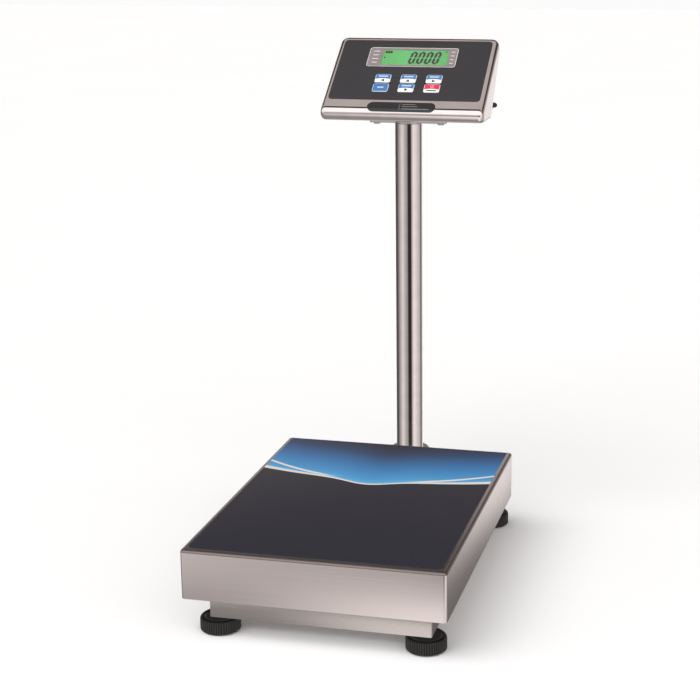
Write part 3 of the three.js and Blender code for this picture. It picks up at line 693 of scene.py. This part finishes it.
def make_feet():
    for corner in CORNERS:
        wheel, sole = f"foot_wheel_{corner}", f"foot_sole_{corner}"
        axis, radius, bottom, stud_top = round_node(wheel)
        _, sole_radius, _, sole_top = round_node(sole)
        bore = sole_radius + SOLE_GAP
        profile = plain([(bore, sole_top + SOLE_GAP), (bore, bottom)])
        profile += stepped(radius, bottom, (1.3, 0), (0.5, 0.3, 0.4), (0, 1.1, 1))
        profile += stepped(
            radius, WHEEL_TOP, (0, -3.4, 1), (0.3, -2.2, 0.8), (1.2, -1.0, 0.1),
            (2.4, -0.2), (3.4, 0), (5.2, 0), (6.0, -0.4), (6.4, -1.4),
        )
        profile += plain([(STUD_HOLE, WHEEL_TOP - 1.4 * MM), (STUD_HOLE, WHEEL_FLOOR)])
        body = f"wheel_{corner}"
        hand_wheel = Shape().turned(profile, RIBS * 8, axis, RIBS, RIB_DEPTH)
        piece(f"ribbed_{body}", hand_wheel, foot_plastic, body, [wheel])
        stud = threaded(STUD_RADIUS, WHEEL_FLOOR, stud_top, axis)
        piece(f"foot_stud_{corner}", stud, zinc, body)
        pad = stepped(sole_radius, 0, (3, 0), (1, 0.15), (0.3, 0.6), (0, 1.2))
        pad += stepped(sole_radius, sole_top, (0, -0.3), (0.3, 0))
        disc = Shape().turned(pad, 64, axis)
        piece(f"rubber_sole_{corner}", disc, rubber, f"sole_{corner}", [sole])


# ---- column
def hexagon(radius, fillet):
    points = []
    for k in range(6):
        turn = math.pi / 3 * k
        points.append((radius * math.cos(turn), radius * math.sin(turn), fillet))
    return points


def hex_bolt(place, head_radius, head_height, shank_radius, shank_length):
    """A bolt whose shank goes up Z from the head's seat at the origin."""
    bolt = Shape()
    flipped = place @ spin(180, "X")
    bolt.slab(hexagon(head_radius, 0.35 * MM), 0.3 * MM, head_height, 0.5 * MM, 3, flipped, 3)
    washer = [(head_radius * 0.9, -0.3 * MM), (head_radius * 0.9, 0)]
    bolt.turned(plain(washer), 40, place)
    shank = [(shank_radius, -0.1 * MM), (shank_radius, shank_length - 0.5 * MM)]
    shank.append((shank_radius * 0.8, shank_length))
    bolt.turned(plain(shank), 28, place)
    return bolt


def make_column():
    centre = middle("column_tube")
    _, radius, z0, z1 = round_node("column_tube")
    wall, lip = mm(1.5, 0.4)
    turns = [2 * math.pi * i / 96 for i in range(96)]
    rings = []
    for r, z in (
        (radius - wall, z0 + lip), (radius - wall + lip, z0), (radius - lip, z0), (radius, z0 + lip),
        (radius, z1 - lip), (radius - lip, z1), (radius - wall + lip, z1), (radius - wall, z1 - lip),
    ):
        rings.append([Vector((centre.x + r * math.cos(t), centre.y + r * math.sin(t), z)) for t in turns])
    piece("column_pole", Shape().loft(rings, closed=True), mirror, "base", ["column_tube"])

    (x0, y0, bottom), (x1, y1, top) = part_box("column_socket")
    half = y1 - centre.y
    outline = rectangle(-half, half, y0, y1, 0.8 * MM, 0.8 * MM, half, half)
    chamfer = 1.2 * MM
    bore = radius + 0.3 * MM

    def around(corners, z):
        return level(filleted(corners, 16), z)

    def bored(z, r):
        ring = []
        for p in filleted(outline, 16):
            spoke = (Vector((p[0], p[1])) - Vector((0, centre.y))).normalized() * r
            ring.append(Vector((spoke.x, centre.y + spoke.y, z)))
        return ring

    socket = Shape().loft([
        around(inset(outline, chamfer / 2), bottom), around(outline, bottom + chamfer / 2),
        around(outline, top - chamfer), around(inset(outline, chamfer), top),
        bored(top, bore + 0.5 * MM), bored(top - 0.5 * MM, bore), bored(z0 - 0.3 * MM, bore),
    ])
    piece("socket_sleeve", socket, steel_z, "base", ["column_socket"])
    rail_low, rail_high = low("rear_rail").z, high("rear_rail").z
    thick = 4 * MM
    upright = shift(0, y0 + thick, 0) @ spin(90, "X")
    flange = Shape().slab(rectangle(x0, x1, rail_low, rail_high, 3 * MM), 0, thick, 0.5 * MM)
    piece("socket_flange", flange, steel_x, "base", ["column_socket"], bake=upright)

    for _, side in SIDES:
        node = f"socket_bolt_{side}"
        seat = Vector((middle(node).x, y0 + 4.3 * MM, middle(node).z))
        place = Matrix.Translation(seat) @ spin(90, "X")
        bolt = hex_bolt(place, *mm(5.5, 4, 3, 13))
        piece(f"socket_screw_{side}", bolt, zinc, "base", [node])
        node = f"bracket_bolt_{side}"
        head = 2.4 * MM
        seat = Vector((middle(node).x, middle(node).y, low(node).z + head))
        bolt = hex_bolt(Matrix.Translation(seat), 4.4 * MM, head, 3 * MM, high(node).z - seat.z)
        piece(f"bracket_screw_{side}", bolt, zinc, "base", [node])
    eased("column_flange", "column_top_flange", zinc, 0.4)
    eased("tilt_bracket", "tilt_yoke", zinc, 0.5)


# ---- head
# Corners of the head's side: place along the face, height out of it and round.
HEAD_SIDE = [mm(-33.1, -49.1, 8), mm(67.5, -17, 5), mm(67.5, 0, 8), mm(-100.7, 0, 10)]
HEAD_EDGE = 6.4 * MM
HEAD_TURN = 11 * MM  # upper corners, seen from above the face
HEAD_WALL = 1.5 * MM
HEAD_HALF = high("head_shell").x
NOSE_RADIUS = HEAD_SIDE[3][2]
REAR = FACE @ shift(0, HEAD_SIDE[0][0], HEAD_SIDE[0][1]) @ Matrix.Rotation(REAR_SLOPE, 4, "X")

WINDOW = mm(-61.1, 56.1, 6, 43)
WINDOW_CORNER = 3.7 * MM
GLASS = mm(-42.8, 44.4, 9.7, 38.9)
KEY_ROWS = {"left": (-1, 0), "up": (0, 0), "right": (1, 0), "set": (-1, 1), "down": (0, 1), "power": (1, 1)}
KEY_PITCH = 33.5 * MM
KEY_Y = mm(-17.1, -34.5)


def key_centre(name):
    column, row = KEY_ROWS[name]
    return column * KEY_PITCH, KEY_Y[row]


def across(corners, half, edge, turn):
    """The side outline along X: both ends rounded over, and wider rounds at the two upper corners."""
    rings = []
    for sign in (-1, 1):
        steps = [(half - turn + turn * share, 0) for share in (0, 0.12, 0.25, 0.36, 0.45)]
        steps += [(half - edge + edge * outwards, edge * inwards) for inwards, outwards in quarter(8)]
        for x, inwards in steps if sign > 0 else reversed(steps):
            lie = x - (half - turn)
            lowered = turn - math.sqrt(max(turn * turn - lie * lie, 0))
            heel, back, front, toe = inset(corners, inwards)
            drop = max(lowered - inwards, 0)
            climb = (back[1] - heel[1]) / (back[0] - heel[0])
            back = (back[0] - drop, back[1] - drop * climb, back[2])
            front = (front[0] - drop, front[1], front[2])
            outline = filleted([heel, back, front, toe], 12)
            rings.append([Vector((sign * x, p[0], p[1])) for p in outline])
    return rings


def key_openings(clearance, z0, z1, radius):
    """A block round each key's place, for cutting."""
    half_x, half_y = KEY_WIDTH / 2 + clearance, KEY_HEIGHT / 2 + clearance
    outlines = [centred(*key_centre(name), half_x, half_y, radius) for name in KEY_ROWS]
    return [Shape().slab(outline, z0, z1) for outline in outlines]


def make_shell():
    inside = inset(HEAD_SIDE, HEAD_WALL)
    hollow = across(inside, HEAD_HALF - HEAD_WALL, HEAD_EDGE - HEAD_WALL, HEAD_TURN - HEAD_WALL)
    x0, x1, y0, y1 = WINDOW
    side, end, z0, z1 = mm(11, 3, -3, 1)
    window = rectangle(x0 + side, x1 - side, y0 + end, y1 - end, LEAST_EDGE)
    tools = [Shape().loft(hollow), Shape().slab(window, z0, z1)]
    tools += key_openings(0.7 * MM, z0, z1, 3 * MM)
    rear = rectangle(*mm(-90, 90, 10, 92, 4))
    tools.append(Shape().slab(rear, *mm(-5, 5), place=FACE.inverted() @ REAR))
    body = Shape().loft(across(HEAD_SIDE, HEAD_HALF, HEAD_EDGE, HEAD_TURN))
    piece("head_case", body, mirror, "head", ["head_shell"], None, 25, tools, FACE)


def make_face():
    film = Shape().slab(centred(0, 0, *mm(98.5, 57, 5)), *mm(0.05, 1.0, 0.25), corner_steps=8)
    x0, x1, y0, y1 = WINDOW
    gap, z0, z1 = mm(0.15, -1, 2)
    window = rectangle(x0 - gap, x1 + gap, y0 - gap, y1 + gap, 3.8 * MM)
    tools = [Shape().slab(window, z0, z1), *key_openings(0.35 * MM, z0, z1, 2.8 * MM)]
    piece("face_film", film, panel_film, "head", ["overlay_panel"], tools=tools, bake=FACE)


def make_display():
    window = rectangle(*WINDOW, WINDOW_CORNER)
    printed = Shape().slab(window, *mm(0.1, 0.7, 0.05), 1, corner_steps=8)
    opening = Shape().slab(rectangle(*GLASS, 0.4 * MM), *mm(-1, 2))
    nodes = ["display_window"]
    piece("window_border", printed, border_print, "head", nodes, tools=[opening], bake=FACE)

    inner = inset(window, 0.8 * MM)
    under, over = mm(0.72, 0.8)
    steps = ((window, under), (window, over), (inner, over), (inner, under))
    rings = [level(filleted(corners, 8), z) for corners, z in steps]
    on_face("window_outline", Shape().loft(rings, closed=True), pale_print)
    cover = Shape().slab(window, *mm(0.84, 1.1, 0.08), 2, corner_steps=8)
    on_face("window_glass", cover, lens, nodes)

    x0, x1, y0, y1 = GLASS
    centre = shift((x0 + x1) / 2, (y0 + y1) / 2, 0)
    margin = 1 * MM
    outline = centred(0, 0, (x1 - x0) / 2 + margin, (y1 - y0) / 2 + margin, 0.5 * MM)
    glass = Shape().slab(outline, *mm(-1.6, 0.05, 0.1))
    piece("display_glass", glass, display_green, "head", ["display_module"], FACE @ centre)
    eased("display_module", "display_frame", frame_plastic, 0.6, "head")
    make_digits()
    make_border_marks()


DIGIT_HEIGHT, DIGIT_WIDTH, DIGIT_BAR, DIGIT_PITCH = mm(23.8, 8.6, 3.2, 10.5)
DIGIT_START = mm(-8.0, 12.3)
SLANT = 0.15  # sideways run for each unit of height


def bar(x0, y0, x1, y1, width):
    """Corners of a straight bar with pointed ends, as display segments have."""
    start, stop = Vector((x0, y0)), Vector((x1, y1))
    along = (stop - start).normalized()
    side = Vector((-along.y, along.x)) * width / 2
    nip = along * width / 2
    points = (start, start + nip - side, stop - nip - side, stop, stop - nip + side, start + nip + side)
    return [(p.x, p.y, 0.12 * MM) for p in points]


def make_digits():
    """Four zeros with a point after the first, in slanted segments just above the green."""
    lift = mm(0.08, 0.2)
    lean = Matrix(((1, SLANT, 0, 0), (0, 1, 0, 0), (0, 0, 1, 0), (0, 0, 0, 1)))
    start = shift(*DIGIT_START, 0) @ lean
    left = bottom = DIGIT_BAR / 2
    right, top, waist = DIGIT_WIDTH - left, DIGIT_HEIGHT - bottom, DIGIT_HEIGHT / 2
    gap = 0.1 * MM
    segments = [(left + gap, y, right - gap, y) for y in (bottom, top)]
    for x in (left, right):
        segments += [(x, bottom + gap, x, waist - gap), (x, waist + gap, x, top - gap)]
    for i in range(4):
        digit = Shape()
        place = start @ shift(i * DIGIT_PITCH, 0, 0)
        for segment in segments:
            digit.slab(bar(*segment, DIGIT_BAR), *lift, place=place, corner_steps=2)
        on_face(f"digit_{i + 1}", digit, dark_print)
    dot = centred(DIGIT_PITCH - 1.3 * MM, 1 * MM, *mm(0.9, 0.9, 0.3))
    point = Shape().slab(dot, *lift, place=start, corner_steps=2)
    on_face("digit_point", point, dark_print)

    x0, x1, _, y1 = GLASS
    row = y1 - 2.0 * MM
    outlines = []
    for i in range(3):
        x = x0 + (2.4 + 3.3 * i) * MM
        outlines.append(rectangle(x, x + 3.0 * MM, row - 4.4 * MM, row, 0.2 * MM))
    outlines.append(centred(x0 + 3.6 * MM, y1 - 14.6 * MM, *mm(1.1, 1.1, 0.5)))
    arrow = ((-1.5, 0), (0, -2.6), (1.5, 0))
    outlines.append([(x1 + (x - 3.6) * MM, row + y * MM, 0.2 * MM) for x, y in arrow])
    marks = Shape()
    for outline in outlines:
        marks.slab(outline, *lift, corner_steps=2)
    on_face("display_marks", marks, dark_print)


def make_border_marks():
    """Short plain bars beside the display, where a scale has its unit names."""
    marks = Shape()
    left, right = WINDOW[0] + 9.4 * MM, WINDOW[1] - 6.3 * MM
    for row in range(4):
        y = (35.5 - row * 7.2) * MM
        for x, half in ((left, 4.0 - 0.5 * (row % 2)), (right, 2.3)):
            marks.slab(centred(x, y, *mm(half, 0.65, 0.3)), *mm(0.72, 0.8), corner_steps=3)
    on_face("border_marks", marks, pale_print)


ARROWS = {"left": 180, "up": 90, "right": 0, "down": -90}


def make_keys():
    top, edge, crown = mm(1.5, 0.5, 0.12)
    outline = centred(0, 0, KEY_WIDTH / 2, KEY_HEIGHT / 2, 2.5 * MM)
    steps = [(0, -1.2 * MM)]
    steps += [(edge * inwards, top - crown - edge + edge * upwards) for inwards, upwards in quarter(4)]
    steps += [(1.8 * MM, top - 0.04 * MM), (4.5 * MM, top)]
    rings = [level(filleted(inset(outline, inwards), 8), z) for inwards, z in steps]
    lift = (top - 0.03 * MM, top + 0.06 * MM)
    for name in KEY_ROWS:
        place = FACE @ shift(*key_centre(name), 0)
        body = f"key_{name}_unit"
        cap = Shape().loft(rings)
        cap.turned(plain([(2.5, -10.9), (2.5, -1.1)], MM), 24)
        material = {"set": key_blue, "power": key_red_white}.get(name, key_blue_white)
        piece(f"key_cap_{name}", cap, material, body, [f"key_{name}"], place, 40)

        dark, pale = Shape(), Shape()
        if name in ARROWS:
            turn = shift(0, -4.0 * MM, 0) @ spin(ARROWS[name], "Z")
            triangle = [mm(-2.1, -2.5, 0.2), mm(2.6, 0, 0.2), mm(-2.1, 2.5, 0.2)]
            dark.slab(triangle, *lift, place=turn, corner_steps=3)
        if name == "power":
            dark.slab(rectangle(*mm(-6.4, 6.4, -5.6, -3.8, 0.4)), *lift, corner_steps=3)
            add_power_symbol(pale, lift)
        else:
            y, half = mm(0, 4.2) if name == "set" else mm(3.6, 6.2)
            pale.slab(centred(0, y, half, *mm(1.05, 0.5)), *lift, corner_steps=3)
        if dark.faces:
            piece(f"key_mark_{name}", dark, dark_print, body, place=place)
        legend = pale_print if name == "power" else key_legend
        piece(f"key_label_{name}", pale, legend, body, place=place)


def add_power_symbol(shape, lift):
    """A ring open at its top with a short bar in the opening."""
    radius, width, opening = 2.0 * MM, 0.6 * MM, math.radians(35)
    rings = []
    for k in range(25):
        turn = math.pi / 2 + opening + (2 * math.pi - 2 * opening) * k / 24
        ring = []
        for r, z in ((-1, 0), (1, 0), (1, 1), (-1, 1)):
            reach = radius + r * width / 2
            ring.append(Vector((reach * math.cos(turn), 3.2 * MM + reach * math.sin(turn), lift[z])))
        rings.append(ring)
    shape.loft(rings)
    shape.slab(rectangle(-width / 2, width / 2, 3.4 * MM, 5.8 * MM, 0.1 * MM), *lift, corner_steps=2)


# ---- the plate bent over the nose
PLATE_START = -61.5 * MM
PLATE_HALF = 44 * MM
PLATE_WRAP = math.radians(38)


def nose_centre():
    _, before, after, half = corner_axes(HEAD_SIDE, 3)
    return Vector((HEAD_SIDE[3][0] + NOSE_RADIUS / math.tan(half), -NOSE_RADIUS))


def bent(shape, x_range, s0, s1, h0, h1, rows, columns):
    """A patch that follows the face and then the nose: s runs down from the plate's upper edge, h out."""
    centre = nose_centre()
    flat = PLATE_START - centre.x

    def at(x, s, h):
        if s <= flat:
            return Vector((x, PLATE_START - s, h))
        turn = (s - flat) / NOSE_RADIUS
        reach = NOSE_RADIUS + h
        return Vector((x, centre.x - reach * math.sin(turn), centre.y + reach * math.cos(turn)))

    rings = []
    for j in range(rows + 1):
        s = s0 + (s1 - s0) * (0.5 - 0.5 * math.cos(math.pi * j / rows))
        x0, x1 = x_range(s)
        xs = [x0 + (x1 - x0) * i / columns for i in range(columns + 1)]
        rings.append([at(x, s, h1) for x in xs] + [at(x, s, h0) for x in reversed(xs)])
    first = len(shape.points)
    count = len(rings[0])
    shape.loft(rings)
    del shape.faces[-2:]
    for row in (0, rows):
        base = first + row * count
        for i in range(columns):
            shape.faces.append((base + i, base + i + 1, base + count - 2 - i, base + count - 1 - i))
    return shape


def make_plate():
    length = (PLATE_START - nose_centre().x) + PLATE_WRAP * NOSE_RADIUS
    end = length / 2

    def capsule(s):
        reach = PLATE_HALF - end + math.sqrt(max(end * end - (s - end) ** 2, 0))
        return -reach, reach

    plate = bent(Shape(), capsule, 0, length, *mm(0.1, 1.0), 32, 40)
    on_face("nose_plate", plate, plate_film, ["info_plate"])
    marks = Shape()
    relief = mm(0.95, 1.06)
    for share, reach in ((0.25, 18), (0.5, 21), (0.75, 36)):
        s = length * share
        bent(marks, lambda _, end=reach: mm(1, end), s - 0.4 * MM, s + 0.4 * MM, *relief, 4, 8)
    bent(marks, lambda _: mm(-2.3, -1.9), length * 0.14, length * 0.86, *relief, 12, 2)
    on_face("nose_plate_marks", marks, dim_print)


# ---- rear of the head
def make_rear():
    """Pressed cover in the rear wall's axes: X across, Y up the wall, and out of the wall towards -Z."""
    rows = (
        (100, 4, 102, 4, 1.3), (99.8, 4.2, 101.8, 3.8, 1.6), (99.3, 4.7, 101.3, 3.3, 1.8),
        (94.4, 7.6, 87.2, 7, 1.8), (93.2, 8.7, 86.2, 6.4, 2.2), (92.4, 10.0, 85.4, 6, 3.4),
        (92.0, 18.4, 81.0, 6, 16.0), (91.6, 20.0, 80.4, 5.6, 18.2), (90.6, 21.6, 79.4, 5, 19.3),
        (89.0, 23.4, 77.8, 4, 19.8),
    )
    shape = Shape().loft([
        level(filleted(rectangle(*mm(-half, half, y0, y1, radius)), 8), -out * MM)
        for half, y0, y1, radius, out in rows
    ])
    del shape.faces[-2]
    cover = new_object("rear_panel", shape.mesh("rear_panel"))
    sheet = cover.modifiers.new("sheet", "SOLIDIFY")
    sheet.thickness = 1.2 * MM
    sheet.offset = -1
    baked(cover)
    cover.data.transform(REAR)
    finish_piece(cover, steel_x, "head", ["rear_cover"], 30)

    pivot = REAR.inverted() @ middle("pivot_bolt_right")
    for sign, side in SIDES:
        out = shift(0, pivot.y, pivot.z) @ spin(sign * 90, "Y")
        boss = Shape().turned(plain([(6.5, 90.5), (6.5, 94.6), (5.9, 95.2)], MM), 40)
        piece(f"pivot_boss_{side}", boss, steel_z, "head", place=REAR @ out)
        nut = Shape()
        nut.turned(plain([(5.6, 98.3), (5.6, 98.9), (5.4, 99.1)], MM), 40)
        nut.slab(hexagon(*mm(4.3, 0.25)), *mm(99.1, 102.9, 0.35), corner_steps=3)
        nut.turned(plain([(3.0, 102.8), (3.2, 103.5)], MM) + domed(*mm(3.2, 104.2, 3.7), 8), 40)
        nut.turned(plain([(2.5, 86), (2.5, 98.5)], MM), 24)
        piece(f"cap_nut_{side}", nut, nut_bronze, "head", [f"pivot_bolt_{side}"], REAR @ out)

        spot = REAR @ shift(*mm(sign * 60, 94, 0)) @ spin(180, "X")
        head = plain([(1.5, 0.2), (3, 1.9), (3, 2.8), (2.6, 3.5), (1.7, 4.1), (0.6, 4.35)], MM)
        cross = [centred(0, 0, *mm(x, y), LEAST_EDGE) for x, y in ((1.6, 0.4), (0.4, 1.6))]
        tools = [Shape().slab(outline, *mm(3.2, 6)) for outline in cross]
        screw, nodes = Shape().turned(head, 40), [f"cover_screw_{side}"]
        piece(f"panel_screw_{side}", screw, zinc, "head", nodes, spot, tools=tools)

    out = REAR @ shift(*mm(-62, 45, -19.8)) @ spin(180, "X")
    cap = [(6.5, 0.05), (6.5, 0.9), (6.1, 1.3), (4.9, 1.4), (4.6, 1.8), (4.6, 3.1), (4.1, 3.6)]
    cap += [(2.4, 3.6), (2.1, 3.2)]
    piece("inlet_plug", Shape().turned(plain(cap, MM), 40), rubber, "head", ["inlet_cap"], out)


def dress_inside():
    """Nodes that keep their own shape get a material here."""
    for node, material in (("main_board", board_green), ("battery_pack", battery_shell)):
        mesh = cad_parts[node].data
        mesh.materials.clear()
        mesh.materials.append(material)


# ---- stage, light and camera
def make_stage():
    reach = 12.0
    slab = Shape().slab(centred(0, 0, reach, reach, 1.0), -0.05, -0.0005)
    floor = new_object("floor", slab.mesh("floor"))
    paint = Finish("floor_paint", Roughness=0.9, Specular_IOR_Level=0.1)
    place, _ = paint.place()
    clouds = paint.noise(place, 1.5, 2)
    paint.set(Base_Color=paint.mix(clouds, (0.90, 0.90, 0.90), (0.92, 0.92, 0.92)))
    floor.data.materials.append(paint.material)
    floor.visible_glossy = False


def make_light():
    """A pale studio: what polished metal mirrors is a ring of soft panels with dark gaps between them."""
    world = bpy.data.worlds.new("studio")
    bpy.context.scene.world = world
    world.use_nodes = True
    paint = Paint(world.node_tree)
    background = world.node_tree.nodes["Background"]
    direction = paint.add("ShaderNodeTexCoord").outputs["Generated"]
    x, y, z = paint.add("ShaderNodeSeparateXYZ", direction).outputs
    front = paint.times(y, -1.0)
    # Share of a turn: 0.5 is straight to the front, and more is further to the right.
    compass = paint.plus(paint.over(paint.direction(x, front), 2 * math.pi), 0.5)
    # Share of a half turn from the front horizon (0) over the top (0.5) to the back horizon (1).
    arch = paint.over(paint.direction(z, front), math.pi)
    height = paint.over(paint.arc_sine(z), math.pi / 2)

    def warm(value, tint):
        return (value, value * (1 - 0.05 * tint), value * (1 - 0.07 * tint))

    def around(*stops):
        """A ramp round the compass, from (degrees, brightness) stops."""
        return paint.ramp(compass, *((degrees / 360 + 0.5, warm(value, 1)) for degrees, value in stops))

    ring = around(
        (-180, 0.75), (-135, 0.10), (-105, 0.08), (-75, 0.45), (-45, 0.85), (-20, 0.5), (-3, 0.35), (6, 0.03),
        (28, 0.03), (36, 0.45), (52, 1.0), (85, 0.75), (115, 0.5), (135, 0.06), (150, 0.5), (166, 0.92),
    )
    ground = around(
        (-180, 0.55), (-120, 0.25), (-60, 0.3), (-25, 0.34), (-7, 1.2), (30, 1.0), (90, 0.7), (150, 0.15),
        (176, 0.12),
    )
    overhead = (
        (0.0, 0.60, 2.5), (0.04, 0.85, 2), (0.07, 1.2, 0), (0.385, 1.2, 0), (0.405, 0.04, 3),
        (0.505, 0.05, 3), (0.525, 0.52, 1.6), (0.635, 0.5, 1.6), (0.66, 0.05, 3), (0.85, 0.05, 3),
        (0.89, 0.42, 2), (1.0, 0.3, 2),
    )
    stops = ((share, warm(value, tint)) for share, value, tint in overhead)
    over = paint.ramp(paint.larger(arch, 0.0), *stops)
    low_part = paint.mix(paint.smooth(height, -0.245, -0.205), ground, ring)
    colour = paint.mix(paint.smooth(height, -0.07, 0.02), low_part, over)
    seen = paint.add("ShaderNodeLightPath").outputs["Is Camera Ray"]
    paint.feed(background.inputs["Color"], paint.mix(seen, colour, (0.97, 0.97, 0.97)))

    def soft_sun(name, direction, degrees, strength):
        lamp = bpy.data.lights.new(name, "SUN")
        lamp.angle = math.radians(degrees)
        lamp.energy = strength
        obj = new_object(name, lamp)
        obj.rotation_euler = Vector(direction).to_track_quat("-Z", "Y").to_euler()
        obj.visible_glossy = False

    soft_sun("key_light", (0.45, 0.6, -1.0), 50, 1.8)
    soft_sun("fill_light", (-0.6, 0.5, -0.8), 70, 0.6)


CAMERA_PLACE = (0.4805, -1.854225, 0.7828)
CAMERA_TURNS = (-13.53, 14.28, -0.30)  # degrees: yaw, pitch down and roll
CAMERA_LENS = 84.31
CAMERA_SENSOR = 36
CAMERA_SHIFT = (-0.0714, -0.0286)


def make_camera():
    """Seen from the front right, a little from above."""
    yaw, pitch, roll = (math.radians(turn) for turn in CAMERA_TURNS)
    forward = Vector((math.sin(yaw) * math.cos(pitch), math.cos(yaw) * math.cos(pitch), -math.sin(pitch)))
    right = Vector((math.cos(yaw), -math.sin(yaw), 0))
    up = right.cross(forward)
    tilted_right = right * math.cos(roll) + up * math.sin(roll)
    tilted_up = -right * math.sin(roll) + up * math.cos(roll)
    axes = Matrix((tilted_right, tilted_up, -forward)).transposed().to_4x4()
    lens_data = bpy.data.cameras.new("camera")
    lens_data.lens = CAMERA_LENS
    lens_data.sensor_width = CAMERA_SENSOR
    lens_data.shift_x, lens_data.shift_y = CAMERA_SHIFT
    camera = new_object("camera", lens_data)
    camera.matrix_world = Matrix.Translation(CAMERA_PLACE) @ axes
    bpy.context.scene.camera = camera


bpy.context.scene.view_settings.view_transform = "Standard"
make_platter()
make_frame()
make_level()
make_feet()
make_column()
make_shell()
make_face()
make_display()
make_keys()
make_plate()
make_rear()
dress_inside()
make_stage()
make_light()
make_camera()
